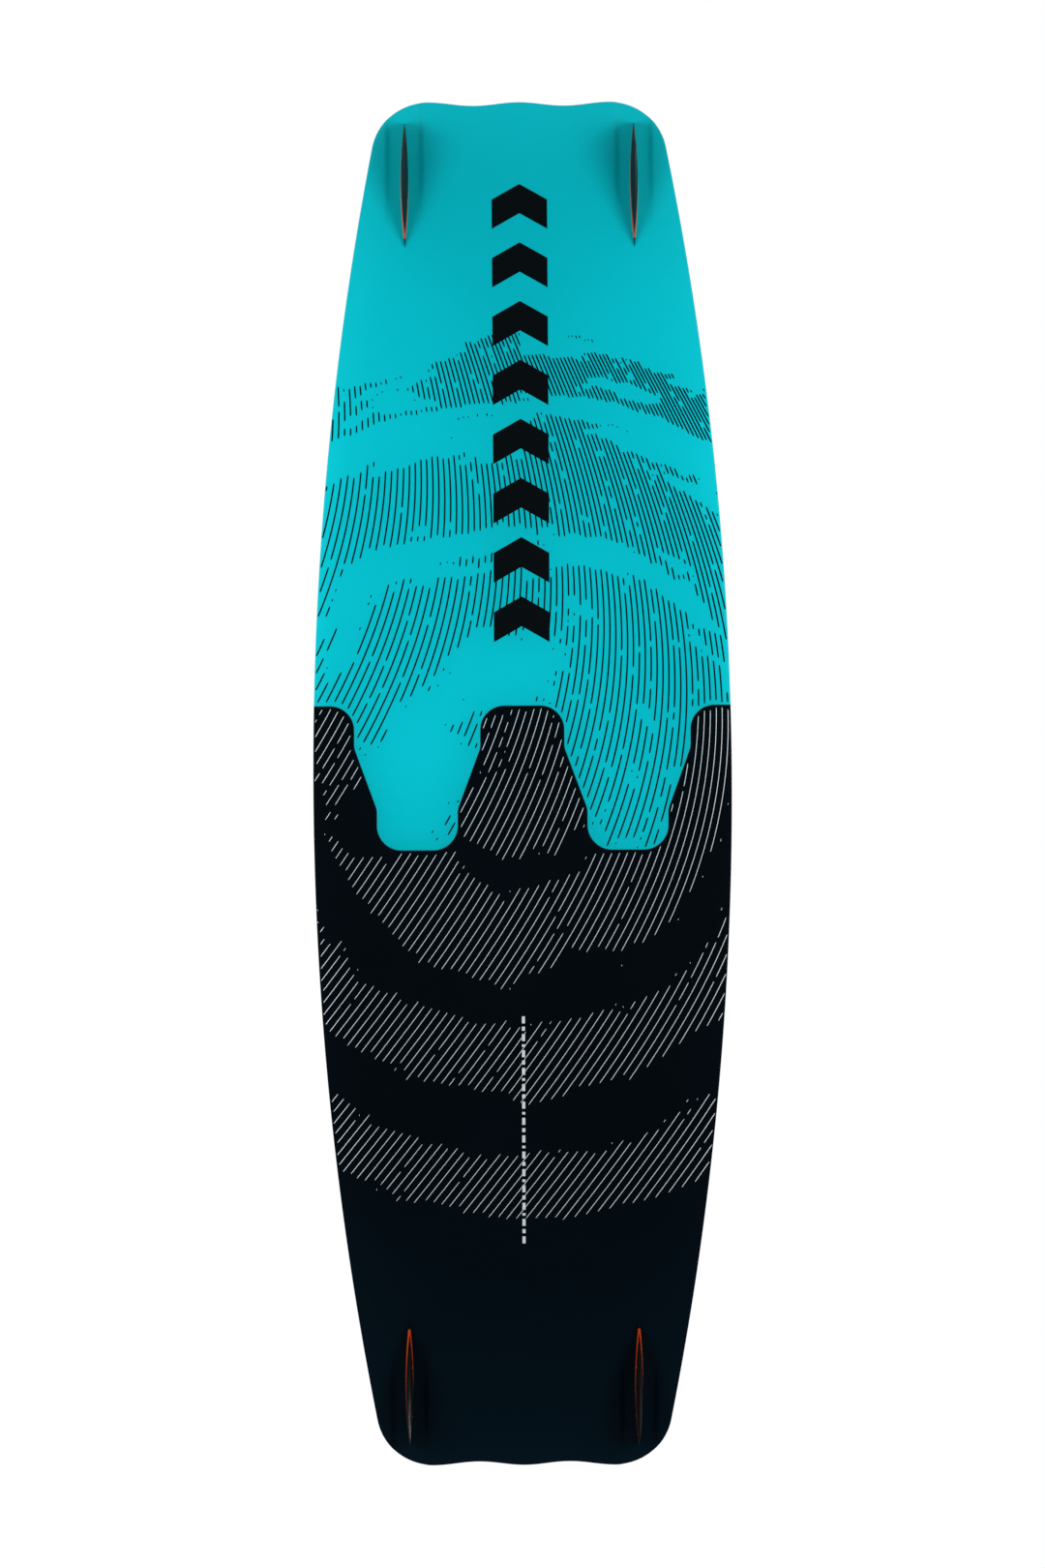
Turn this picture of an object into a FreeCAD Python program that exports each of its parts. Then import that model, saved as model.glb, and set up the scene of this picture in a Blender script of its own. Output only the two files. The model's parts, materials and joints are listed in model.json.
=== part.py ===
import FreeCAD, Part
import math
import os
from FreeCAD import Placement, Rotation, Vector

# Split twin-tip kiteboard, in millimetres. +Z is the deck side and +Y points to the nose tip.
# Heights are first counted from the hull's lowest point on the centreline, and every solid is
# lifted at export so that the fin tips stand on z = 0.

# ---------------------------------------------------------------- board outline
half_length = 690.0
half_width = 210.0
rail_arc_radius = 3400.0
corner_centre_x = 92.0
tip_wave_depth = 3.5
tip_wave_points = 9

# ---------------------------------------------------------------- board section
rocker = 40.0
concave = 4.5
rail_thickness = 7.0
tip_thickness = 8.0
centre_thickness = 14.0
crown_power = 2.2
skin = 0.8
rail_strip = 8.0
seam_strip = 3.0
through_height = 20.0
grid_x = 72
grid_y = 56
grid_margin = 8.0
prism_low = -40.0
prism_height = 140.0

# ---------------------------------------------------------------- tip channels
fin_x = 116.0
channel_half = 17.5
channel_depth = 2.5
channel_fade_start = 540.0
channel_fade_length = 110.0
double_concave_half = 98.0
double_concave_depth = 1.6
double_concave_fade_start = 590.0
crease_softness = 0.15

# ---------------------------------------------------------------- seam between the halves
seam_gap = 0.4
lobe_top = 78.0
finger_tip = -67.0
lobe_shoulder = 36.0
finger_shoulder = -26.0
lobe_half_top = 42.0
lobe_half_bottom = 65.0
finger_outer_bottom = 146.5
finger_outer_top = 169.0
seam_end_x = 260.0
seam_end_y = 800.0
lobe_corner = 24.0
finger_corner = 25.0
shoulder_corner = 18.0
seam_overcut = 5.0

# ---------------------------------------------------------------- joiner bars, sockets, locks
joiner_x = 105.7
bar_width = 50.0
bar_bottom = 4.6
bar_thickness = 3.5
bar_corner = 6.0
bar_nose_end = 120.0
bar_tail_end = -175.0
socket_clearance = 0.3
socket_wall = 0.6
socket_end = -180.0
rivet_radius = 3.0
rivet_stations = (5.0, 80.0)
lock_y = -115.0
lock_shank_radius = 3.0
lock_running_radius = 3.05
lock_slot_half = 3.4
lock_head_radius = 5.4
lock_head_height = 2.2
lock_hex_flats = 4.0
lock_hex_depth = 1.6
collar_radius = 9.5
collar_bottom = 10.0
collar_height = 3.6
collar_chamfer = 0.8
collar_seat_height = 1.2
collar_bore_radius = 5.8
collar_recess_radius = 10.0
collar_recess_floor = 9.9
head_lift = 0.1
lock_end_gap = 0.1
lock_shaft_gap = 0.1
nut_plate_side = 24.0
nut_plate_bottom = 1.6
nut_plate_height = 2.0

# ---------------------------------------------------------------- fins
fin_y = 605.0
fin_length = 128.0
fin_thickness = 7.8
fin_depth = 48.0
fin_foot_height = 8.0
fin_overlap = 2.0
fin_screw_offsets = (-18.0, 32.0)
fin_insert_outer = 2.5
fin_insert_inner = 2.0
fin_insert_length = 11.0
fin_insert_sink = 0.05
fin_screw_length = 16.0
fin_hole_radius = 2.3
fin_head_radius = 4.2
fin_head_height = 2.4
fin_washer_radius = 7.0
fin_washer_height = 1.0
fin_washer_gap = 0.05
fin_hex_flats = 3.0
fin_hex_depth = 1.5
# Each station: share of the depth, start and end along the fin from its inner end, share of thickness.
fin_stations = (
    (0.0, 0.0, 128.0, 1.0),
    (0.2, 14.0, 126.0, 0.92),
    (0.4, 30.0, 122.0, 0.80),
    (0.6, 47.0, 117.0, 0.66),
    (0.8, 64.0, 110.0, 0.48),
    (0.95, 78.0, 102.0, 0.30),
    (1.0, 85.0, 97.0, 0.18),
)

# ---------------------------------------------------------------- foot pads and their fasteners
pad_y = 265.0
insert_row_x = 76.2
insert_pitch = 25.4
insert_reach = 3
insert_outer = 5.0
insert_inner = 2.5
insert_length = 9.0
insert_sink = 0.3
screw_radius = 3.0
screw_head_radius = 5.5
screw_head_height = 3.2
screw_hex_flats = 4.0
screw_hex_depth = 2.0
screw_end_gap = 1.0
pad_half_x = 143.0
pad_half_y = 66.0
pad_corner = 55.0
pad_top = 7.5
pad_gap_centre = 0.6
pad_gap_edge = 1.7
pad_gap_power = 1.5
pad_depth = 20.0
pad_swivel = 9.0
slot_half = 3.5
slot_recess_half = 10.5
slot_recess_depth = 2.6
washer_gap = 0.4
washer_radius = 9.0
washer_height = 1.5
footbed_inset = 3.0
footbed_half_y = 59.0
footbed_height = 13.0
footbed_corner = 47.0
footbed_rounding = 4.0
window_half = 13.0
window_extra_angle = 6.0
lug_half_x = 30.0
lug_inner_y = 60.0
lug_outer_y = 65.0
lug_height = 24.0
flange_half_x = 38.0
flange_half_y = 77.0
flange_corner = 8.0

# ---------------------------------------------------------------- foot strap
strap_half_width = 38.0
strap_thickness = 6.0
strap_arch_height = 76.0
webbing_half_width = 24.0
webbing_thickness = 1.6
strap_plate_thickness = 2.0
strap_plate_half_x = 26.0
strap_plate_low = 3.0
strap_plate_high = 21.0
strap_plate_corner = 5.0
strap_screw_x = 17.0
strap_screw_z = 12.0
strap_screw_radius = 2.5
strap_screw_head = 4.5
strap_screw_head_height = 2.5
strap_hex_flats = 3.0
strap_hex_depth = 1.6

# ---------------------------------------------------------------- grab handle
handle_stations = (46.5, -126.5)
handle_half_width = 14.0
handle_thickness = 3.0
handle_rise = 36.0
handle_tab = 14.0
handle_bend_start = 20.0
handle_slope_run = 22.0
handle_bend = 14.0
handle_lift = 0.3
handle_insert_length = 9.0
handle_washer_radius = 10.0
handle_washer_height = 1.5
grip_half_length = 48.0
grip_half_width = 17.5
grip_half_height = 9.0
grip_corner = 7.0

Z = Vector(0, 0, 1)
parts = {}


# ================================================================ shape of the board
def fade(value):
    """Smooth step from 0 to 1."""
    value = max(0.0, min(1.0, value))
    return value * value * (3 - 2 * value)


def edge_x(y):
    """Half width of the board at y, on the long rail arc."""
    return half_width - rail_arc_radius + math.sqrt(rail_arc_radius ** 2 - y * y)


def hull_z(x, y):
    """Hull side: rocker, concave, the fin channels and the double concave of the tips."""
    z = rocker * (y / half_length) ** 2 + concave * (1 - (x / half_width) ** 2) - concave
    channel = fade((abs(y) - channel_fade_start) / channel_fade_length)
    across = (abs(x) - fin_x) / channel_half
    z += channel_depth * channel * math.exp(-across ** 4)
    if abs(x) < double_concave_half:
        tips = fade((abs(y) - double_concave_fade_start) / (half_length - double_concave_fade_start))
        wave = math.sin(math.pi * x / double_concave_half)
        z += double_concave_depth * tips * (math.hypot(wave, crease_softness) - crease_softness)
    return z


def thickness(x, y):
    """Thick along the middle and thin at the rails and tips."""
    middle = tip_thickness + (centre_thickness - tip_thickness) * (1 - (y / half_length) ** 2)
    out = min(1.0, abs(x) / edge_x(y))
    return rail_thickness + (middle - rail_thickness) * (1 - out ** crown_power)


def deck_z(x, y):
    z = rocker * (y / half_length) ** 2 + concave * (1 - (x / half_width) ** 2) - concave
    return z + thickness(x, y)


def pad_floor_z(x, y):
    """Underside of a pad: clear of the deck through the whole swivel."""
    return deck_z(x, y) + pad_gap_centre + pad_gap_edge * (abs(x) / pad_half_x) ** pad_gap_power


def height_surface(height, lift):
    """Spline surface through a regular grid of the given height function."""
    reach_x = half_width + grid_margin
    reach_y = half_length + grid_margin
    rows = []
    for i in range(grid_x + 1):
        x = reach_x * (2 * i / grid_x - 1)
        row = []
        for j in range(grid_y + 1):
            y = reach_y * (2 * j / grid_y - 1)
            row.append(Vector(x, y, height(x, y) + lift))
        rows.append(row)
    surface = Part.BSplineSurface()
    surface.interpolate(rows)
    return surface


def slab(low_height, low_lift, high_height, high_lift):
    """Closed solid between two height surfaces."""
    low = height_surface(low_height, low_lift).toShape()
    high = height_surface(high_height, high_lift).toShape()
    faces = [low, high]
    for edge_low, edge_high in zip(low.OuterWire.OrderedEdges, high.OuterWire.OrderedEdges):
        faces.append(Part.makeRuledSurface(edge_low, edge_high))
    shell = Part.makeShell(faces)
    shell.sewShape()
    solid = Part.makeSolid(shell)
    if solid.Volume < 0:
        solid.reverse()
    return solid


# ================================================================ plan outlines
def rounded_path(points, radii, closed):
    """Wire through the points, with an arc of the given radius at each corner."""
    count = len(points)
    starts = []
    arcs = []
    for i in range(count):
        point = points[i]
        if radii[i] == 0:
            starts.append((point, point))
            arcs.append(None)
            continue
        before = (points[i - 1] - point).normalize()
        after = (points[(i + 1) % count] - point).normalize()
        half_angle = before.getAngle(after) / 2
        reach = radii[i] / math.tan(half_angle)
        inwards = (before + after).normalize()
        centre = point + inwards * (radii[i] / math.sin(half_angle))
        first = point + before * reach
        last = point + after * reach
        middle = centre - inwards * radii[i]
        starts.append((first, last))
        arcs.append(Part.Arc(first, middle, last).toShape())
    edges = []
    last_index = count if closed else count - 1
    for i in range(count):
        if arcs[i]:
            edges.append(arcs[i])
        if i < last_index:
            leave = starts[i][1]
            reach = starts[(i + 1) % count][0]
            if leave.distanceToPoint(reach) > 1e-6:
                edges.append(Part.LineSegment(leave, reach).toShape())
    return Part.Wire(edges)


def outline_face(inset):
    """Plan of the whole board, drawn in by the inset."""
    centre_x = half_width - rail_arc_radius
    corner_radius = (rail_arc_radius ** 2 - half_length ** 2 - (corner_centre_x - centre_x) ** 2)
    corner_radius /= 2 * (rail_arc_radius - half_length)
    corner_y = half_length - corner_radius
    towards = Vector(corner_centre_x - centre_x, corner_y, 0).normalize()
    rail_radius = rail_arc_radius - inset
    radius = corner_radius - inset
    meet = Vector(centre_x, 0, 0) + towards * rail_radius
    middle_way = (towards + Vector(0, 1, 0)).normalize()
    corner_middle = Vector(corner_centre_x, corner_y, 0) + middle_way * radius
    tip_top = half_length - inset

    tip = []
    for i in range(tip_wave_points):
        x = corner_centre_x * (1 - 2 * i / (tip_wave_points - 1))
        dip = tip_wave_depth * (1 - math.cos(2 * math.pi * x / corner_centre_x)) / 2
        tip.append(Vector(x, tip_top - dip, 0))
    wave = Part.BSplineCurve()
    wave.interpolate(Points=tip, InitialTangent=Vector(-1, 0, 0), FinalTangent=Vector(-1, 0, 0))

    def flip(vector, sign_x, sign_y):
        return Vector(vector.x * sign_x, vector.y * sign_y, 0)

    edges = [Part.Arc(flip(meet, 1, -1), Vector(half_width - inset, 0, 0), meet).toShape()]
    edges.append(Part.Arc(meet, corner_middle, tip[0]).toShape())
    edges.append(wave.toShape())
    edges.append(Part.Arc(tip[-1], flip(corner_middle, -1, 1), flip(meet, -1, 1)).toShape())
    edges.append(Part.Arc(flip(meet, -1, 1), Vector(inset - half_width, 0, 0), flip(meet, -1, -1)).toShape())
    edges.append(Part.Arc(flip(meet, -1, -1), flip(corner_middle, -1, -1), flip(tip[-1], 1, -1)).toShape())
    edges.append(wave.toShape().mirror(Vector(0, 0, 0), Vector(0, 1, 0)))
    edges.append(Part.Arc(flip(tip[0], 1, -1), flip(corner_middle, 1, -1), flip(meet, 1, -1)).toShape())
    return Part.Face(Part.Wire(Part.__sortEdges__(edges)))


def seam_region(side, inset):
    """Plan region of one side of the stepped seam: side +1 is the nose and -1 is the tail."""
    right = [
        (Vector(lobe_half_top, lobe_top, 0), lobe_corner),
        (Vector(lobe_half_top, lobe_shoulder, 0), shoulder_corner),
        (Vector(lobe_half_bottom, finger_shoulder, 0), shoulder_corner),
        (Vector(lobe_half_bottom, finger_tip, 0), finger_corner),
        (Vector(finger_outer_bottom, finger_tip, 0), finger_corner),
        (Vector(finger_outer_bottom, finger_shoulder, 0), shoulder_corner),
        (Vector(finger_outer_top, lobe_shoulder, 0), shoulder_corner),
        (Vector(finger_outer_top, lobe_top, 0), lobe_corner),
        (Vector(seam_end_x, lobe_top, 0), 0),
    ]
    left = [(Vector(-point.x, point.y, 0), radius) for point, radius in reversed(right)]
    ends = [(Vector(seam_end_x, side * seam_end_y, 0), 0), (Vector(-seam_end_x, side * seam_end_y, 0), 0)]
    corners = left + right + ends
    wire = rounded_path([c[0] for c in corners], [c[1] for c in corners], True)
    return Part.Face(wire).makeOffset2D(-inset)


def half_plan(side, rail_inset, seam_inset):
    return outline_face(rail_inset).common(seam_region(side, seam_inset))


def prism(plan):
    """Tall vertical prism over a plan face."""
    low = plan.copy()
    low.translate(Vector(0, 0, prism_low))
    return low.extrude(Vector(0, 0, prism_height))


# ================================================================ small helpers
def cylinder(radius, height, x, y, z):
    return Part.makeCylinder(radius, height, Vector(x, y, z))


def tube(outer, inner, height, x, y, z):
    return cylinder(outer, height, x, y, z).cut(cylinder(inner, height, x, y, z))


def block(x_range, y_range, z_range):
    size = (x_range[1] - x_range[0], y_range[1] - y_range[0], z_range[1] - z_range[0])
    return Part.makeBox(size[0], size[1], size[2], Vector(x_range[0], y_range[0], z_range[0]))


def rounded_plate(half_x, half_y, corner, low, high, centre_y):
    """Flat plate with rounded corners, centred on x = 0."""
    points = [
        Vector(-half_x, centre_y - half_y, low),
        Vector(half_x, centre_y - half_y, low),
        Vector(half_x, centre_y + half_y, low),
        Vector(-half_x, centre_y + half_y, low),
    ]
    face = Part.Face(rounded_path(points, [corner] * 4, True))
    return face.extrude(Vector(0, 0, high - low))


def hex_recess(flats, depth, x, y, top):
    """Hexagonal key recess below a flat head."""
    radius = flats / math.sqrt(3)
    corners = []
    for i in range(7):
        angle = math.radians(60 * i)
        corners.append(Vector(x + radius * math.cos(angle), y + radius * math.sin(angle), top - depth))
    return Part.Face(Part.makePolygon(corners)).extrude(Vector(0, 0, depth + 1))


def frame_on(height, x, y):
    """Placement at a point of a height surface, its z along the surface's normal."""
    step = 1.0
    slope_x = (height(x + step, y) - height(x - step, y)) / (2 * step)
    slope_y = (height(x, y + step) - height(x, y - step)) / (2 * step)
    normal = Vector(-slope_x, -slope_y, 1).normalize()
    return Placement(Vector(x, y, height(x, y)), Rotation(Z, normal))


def placed(shape, placement):
    moved = shape.copy()
    moved.Placement = placement.multiply(moved.Placement)
    return moved


def cut_all(shape, tools):
    """Cut a list of tools that may touch each other."""
    for tool in tools:
        shape = shape.cut(tool)
    return shape


def edges_above(shape, height):
    """Edges that lie wholly at or above a height."""
    return [edge for edge in shape.Edges if edge.BoundBox.ZMin > height - 0.01]


def edges_along_y(shape):
    return [edge for edge in shape.Edges if abs(edge.tangentAt(edge.FirstParameter).y) > 0.9]


def group(shapes):
    return Part.makeCompound(shapes)


# ================================================================ joiner bars and locks
def joiner_bar(x):
    """Flat bar, open slot at its tail end, riveted into the nose half."""
    low = bar_bottom
    high = bar_bottom + bar_thickness
    bar = rounded_plate(bar_width / 2, (bar_nose_end - bar_tail_end) / 2, bar_corner, low, high,
                        (bar_nose_end + bar_tail_end) / 2)
    bar.translate(Vector(x, 0, 0))
    slot = block((x - lock_slot_half, x + lock_slot_half), (bar_tail_end - 1, lock_y), (low, high))
    slot = slot.fuse(cylinder(lock_slot_half, bar_thickness, x, lock_y, low))
    bar = bar.cut(slot)
    for y in rivet_stations:
        bar = bar.cut(cylinder(rivet_radius, bar_thickness, x, y, low))
    return bar


def bar_pocket(x):
    low = bar_bottom
    return block((x - bar_width / 2, x + bar_width / 2), (finger_tip - seam_overcut, bar_nose_end),
                 (low, low + bar_thickness))


def socket_block(x, wall):
    """Outer (wall) or inner (no wall) box of a socket sleeve."""
    reach = bar_width / 2 + socket_clearance + wall
    low = bar_bottom - socket_clearance - wall
    high = bar_bottom + bar_thickness + socket_clearance + wall
    end = socket_end - wall
    mouth = finger_tip - seam_gap / 2
    return block((x - reach, x + reach), (end, mouth), (low, high))


def socket_mouth(x):
    """Way in for a bar through the tail half's rounded seam corners, in front of its socket."""
    reach = bar_width / 2 + socket_clearance
    low = bar_bottom - socket_clearance
    high = bar_bottom + bar_thickness + socket_clearance
    return block((x - reach, x + reach), (finger_tip - seam_overcut, finger_tip + seam_overcut), (low, high))


def socket(x):
    """Sleeve in the tail half that takes a joiner bar."""
    inner = socket_block(x, 0)
    hole = cylinder(lock_slot_half, through_height, x, lock_y, 0)
    return socket_block(x, socket_wall).cut(inner).cut(hole)


def rivets():
    shapes = []
    for x in (-joiner_x, joiner_x):
        for y in rivet_stations:
            rod = cylinder(rivet_radius, prism_height, x, y, prism_low)
            shapes.append(rod.common(core_slab))
    return shapes


def nut_plate_block(x):
    half = nut_plate_side / 2
    return block((x - half, x + half), (lock_y - half, lock_y + half),
                 (nut_plate_bottom, nut_plate_bottom + nut_plate_height))


def nut_plate(x):
    bore = cylinder(lock_running_radius, nut_plate_height, x, lock_y, nut_plate_bottom)
    return nut_plate_block(x).cut(bore)


def lock_collar(x):
    """Captive collar that lifts with its screw."""
    ring = cylinder(collar_radius, collar_height, x, lock_y, collar_bottom)
    ring = ring.makeChamfer(collar_chamfer, edges_above(ring, collar_bottom + collar_height))
    ring = ring.cut(cylinder(lock_running_radius, collar_height, x, lock_y, collar_bottom))
    seat = collar_bottom + collar_seat_height
    return ring.cut(cylinder(collar_bore_radius, collar_height, x, lock_y, seat))


def lock_screw(x):
    """Shank through the slot, low head with a hexagonal recess."""
    seat = collar_bottom + collar_seat_height + head_lift
    shank_low = nut_plate_bottom + lock_end_gap
    shank = cylinder(lock_shank_radius, seat - shank_low, x, lock_y, shank_low)
    head = cylinder(lock_head_radius, lock_head_height, x, lock_y, seat)
    screw = shank.fuse(head)
    return screw.cut(hex_recess(lock_hex_flats, lock_hex_depth, x, lock_y, seat + lock_head_height))


def lock_holes(x):
    """Shaft and collar recess through deck and core over a lock screw."""
    shaft = cylinder(lock_slot_half + lock_shaft_gap, through_height, x, lock_y, nut_plate_bottom)
    recess = cylinder(collar_recess_radius, through_height, x, lock_y, collar_recess_floor)
    return [shaft, recess]


# ================================================================ fins
def lens_wire(start, end, width, z):
    """Pointed lens section lying along y at height z."""
    tail = Vector(0, start, z)
    nose = Vector(0, end, z)
    middle = (start + end) / 2
    right = Part.Arc(tail, Vector(width / 2, middle, z), nose).toShape()
    left = Part.Arc(nose, Vector(-width / 2, middle, z), tail).toShape()
    return Part.Wire([right, left])


def fin_body(side):
    """Whole fin about its own base centre, hanging down, its steep end away from the middle."""
    wires = [lens_wire(-fin_length / 2, fin_length / 2, fin_thickness, fin_overlap)]
    for share, start, end, thick in fin_stations:
        wires.append(lens_wire(start - fin_length / 2, end - fin_length / 2, fin_thickness * thick,
                               -fin_depth * share))
    body = Part.makeLoft(wires, True, False)
    if side < 0:
        body = body.mirror(Vector(0, 0, 0), Vector(0, 1, 0))
    return body


def fin_screw_places(x, side):
    return [(x, side * (fin_y + offset)) for offset in fin_screw_offsets]


def fin_parts(x, side):
    """Blade and foot of one fin, bored for their threaded inserts."""
    place = frame_on(hull_z, x, side * fin_y)
    whole = placed(fin_body(side), place).cut(board_slab)
    reach = 4 * fin_thickness
    band = Part.makeBox(2 * reach, 2 * fin_length, reach, Vector(-reach, -fin_length, -fin_foot_height))
    band = placed(band, place)
    bores = [fin_insert_rod(px, py, fin_insert_outer, fin_overlap) for px, py in fin_screw_places(x, side)]
    foot = cut_all(whole.common(band), bores)
    blade = cut_all(whole.cut(band), bores)
    return blade, foot


def fin_insert_rod(x, y, radius, above):
    """Rod square to the deck, from the given height above an insert's top down to its lower end."""
    high = hull_z(x, y) - deck_z(x, y) - fin_insert_sink
    rod = Part.makeCylinder(radius, fin_insert_length + above, Vector(0, 0, high - fin_insert_length))
    return placed(rod, frame_on(deck_z, x, y))


def fin_insert(x, y):
    """Threaded insert reaching from the hull into the blade."""
    return fin_insert_rod(x, y, fin_insert_outer, 0).cut(fin_insert_rod(x, y, fin_insert_inner, 0))


def fin_screw(x, y):
    seat = fin_washer_gap + fin_washer_height
    shank = Part.makeCylinder(fin_insert_inner, fin_screw_length + seat, Vector(0, 0, -fin_screw_length))
    head = Part.makeCylinder(fin_head_radius, fin_head_height, Vector(0, 0, seat))
    screw = shank.fuse(head).cut(hex_recess(fin_hex_flats, fin_hex_depth, 0, 0, seat + fin_head_height))
    return placed(screw, frame_on(deck_z, x, y))


def fin_washer(x, y):
    ring = tube(fin_washer_radius, fin_hole_radius, fin_washer_height, 0, 0, fin_washer_gap)
    return placed(ring, frame_on(deck_z, x, y))


def fin_hole(x, y):
    return placed(cylinder(fin_hole_radius, prism_height, 0, 0, -prism_height / 2), frame_on(deck_z, x, y))


def all_fin_places(side):
    return fin_screw_places(-fin_x, side) + fin_screw_places(fin_x, side)


# ================================================================ threaded inserts in the deck
def deck_insert(x, y, length):
    return tube(insert_outer, insert_inner, length, x, y, deck_z(x, y) - insert_sink - length)


def deck_insert_pocket(x, y, length):
    return cylinder(insert_outer, length + through_height, x, y, deck_z(x, y) - insert_sink - length)


def pad_insert_places(side):
    places = []
    for x in (-insert_row_x, insert_row_x):
        for step in range(-insert_reach, insert_reach + 1):
            places.append((x, side * pad_y + step * insert_pitch))
    return places


def machine_screw(x, y, seat, low, core_top, head_radius):
    """Full shank above the insert, thread core inside it, and a low head."""
    shank = cylinder(screw_radius, seat - core_top, x, y, core_top)
    core = cylinder(insert_inner, core_top - low, x, y, low)
    head = cylinder(head_radius, screw_head_height, x, y, seat)
    screw = shank.fuse(core).fuse(head)
    return screw.cut(hex_recess(screw_hex_flats, screw_hex_depth, x, y, seat + screw_head_height))


# ================================================================ halves of the board
def board_half(side, name):
    """Skins, core, rail, inserts and fins of one half."""
    full = prism(half_plan(side, 0, seam_gap / 2))
    inner = prism(half_plan(side, rail_strip, seam_gap / 2 + seam_strip))
    fin_holes = [fin_hole(x, y) for x, y in all_fin_places(side)]
    pockets = [deck_insert_pocket(x, y, insert_length) for x, y in pad_insert_places(side)]
    hull = hull_slab.common(full)
    core = core_slab.common(inner)
    rail = core_slab.common(full.cut(inner))
    deck = deck_slab.common(full)
    hull = cut_all(hull, fin_holes)
    core = cut_all(core, fin_holes + pockets)
    deck = cut_all(deck, fin_holes + pockets)
    if side > 0:
        tools = []
        for x in (-joiner_x, joiner_x):
            tools.append(bar_pocket(x))
        core = cut_all(core, tools + rivets())
        rail = cut_all(rail, tools)
    else:
        tools = [deck_insert_pocket(0, y, handle_insert_length) for y in handle_stations]
        sockets = []
        for x in (-joiner_x, joiner_x):
            tools += lock_holes(x)
            sockets += [socket_block(x, socket_wall), socket_mouth(x), nut_plate_block(x)]
        deck = cut_all(deck, tools)
        core = cut_all(core, tools + sockets)
        rail = cut_all(rail, sockets)
    parts[name + "_hull_skin"] = hull
    parts[name + "_core"] = core
    parts[name + "_rail"] = rail
    parts[name + "_deck_skin"] = deck
    inserts = [deck_insert(x, y, insert_length) for x, y in pad_insert_places(side)]
    parts[name + "_pad_inserts"] = group(inserts)


def fins_of(side, name):
    for x, hand in ((-fin_x, "left"), (fin_x, "right")):
        blade, foot = fin_parts(x, side)
        parts[name + "_fin_" + hand + "_blade"] = blade
        parts[name + "_fin_" + hand + "_foot"] = foot
    places = all_fin_places(side)
    parts[name + "_fin_inserts"] = group([fin_insert(x, y) for x, y in places])
    parts[name + "_fin_screws"] = group([fin_screw(x, y) for x, y in places])
    parts[name + "_fin_washers"] = group([fin_washer(x, y) for x, y in places])


# ================================================================ foot pads
def arc_slot(hand, half, extra, low, high, centre_y):
    """Curved slot about the pad's centre, on the +x or -x side."""
    reach = math.radians(pad_swivel + extra)

    def at(radius, angle):
        return Vector(hand * radius * math.cos(angle), centre_y + radius * math.sin(angle), low)

    def along(angle, step):
        return Vector(-hand * math.sin(angle), math.cos(angle), 0) * step

    outer = insert_row_x + half
    inner = insert_row_x - half
    far_cap = at(insert_row_x, reach) + along(reach, half)
    near_cap = at(insert_row_x, -reach) + along(-reach, -half)
    edges = [
        Part.Arc(at(outer, -reach), at(outer, 0), at(outer, reach)).toShape(),
        Part.Arc(at(outer, reach), far_cap, at(inner, reach)).toShape(),
        Part.Arc(at(inner, reach), at(inner, 0), at(inner, -reach)).toShape(),
        Part.Arc(at(inner, -reach), near_cap, at(outer, -reach)).toShape(),
    ]
    return Part.Face(Part.Wire(edges)).extrude(Vector(0, 0, high - low))


def pad_base(side, top):
    """Moulded plate that follows the deck, with swivel slots and two upright lugs."""
    centre = side * pad_y
    low = top - pad_depth
    plate = rounded_plate(pad_half_x, pad_half_y, pad_corner, low, top, centre)
    flange = rounded_plate(flange_half_x, flange_half_y, flange_corner, low, top, centre)
    base = plate.fuse(flange).cut(under_pads)
    for sign in (-1, 1):
        ys = sorted((centre + sign * lug_inner_y, centre + sign * lug_outer_y))
        base = base.fuse(block((-lug_half_x, lug_half_x), ys, (top - 1, top + lug_height)))
    for hand in (-1, 1):
        base = base.cut(arc_slot(hand, slot_half, 0, low, top + 1, centre))
        base = base.cut(arc_slot(hand, slot_recess_half, 0, top - slot_recess_depth, top + 1, centre))
    return cut_all(base, strap_screw_bores(side, top))


def footbed(side, top):
    """Foam bed on the plate, with a window over each swivel slot."""
    centre = side * pad_y
    high = top + footbed_height
    bed = rounded_plate(pad_half_x - footbed_inset, footbed_half_y, footbed_corner, top, high, centre)
    bed = bed.makeFillet(footbed_rounding, edges_above(bed, high))
    for hand in (-1, 1):
        bed = bed.cut(arc_slot(hand, window_half, window_extra_angle, top - 1, high + 1, centre))
    return bed


def arch_band(inner_y, thick, half_x, rise, centre, low, straight):
    """Band over the foot: straight sides up to the given height, then half an ellipse."""
    outer_y = inner_y + thick
    start = Vector(0, 0, 0)
    outer_arc = Part.ArcOfEllipse(Part.Ellipse(start, outer_y, rise + thick - straight), 0, math.pi)
    inner_arc = Part.ArcOfEllipse(Part.Ellipse(start, inner_y, rise - straight), 0, math.pi)
    edges = [outer_arc.toShape(), inner_arc.toShape()]
    for sign in (-1, 1):
        outer_top = Vector(sign * outer_y, 0, 0)
        inner_top = Vector(sign * inner_y, 0, 0)
        down = Vector(0, -straight, 0)
        edges.append(Part.LineSegment(outer_top, outer_top + down).toShape())
        edges.append(Part.LineSegment(outer_top + down, inner_top + down).toShape())
        edges.append(Part.LineSegment(inner_top + down, inner_top).toShape())
    band = Part.Face(Part.Wire(Part.__sortEdges__(edges)))
    band.rotate(start, Vector(1, 0, 0), 90)
    band.rotate(start, Z, 90)
    solid = band.extrude(Vector(2 * half_x, 0, 0))
    solid.translate(Vector(-half_x, centre, low + straight))
    return solid


def strap_screw_bores(side, top):
    bores = []
    for x in (-strap_screw_x, strap_screw_x):
        start = Vector(x, side * pad_y - 2 * pad_half_y, top + strap_screw_z)
        bores.append(Part.makeCylinder(strap_screw_radius, 4 * pad_half_y, start, Vector(0, 1, 0)))
    return bores


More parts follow.
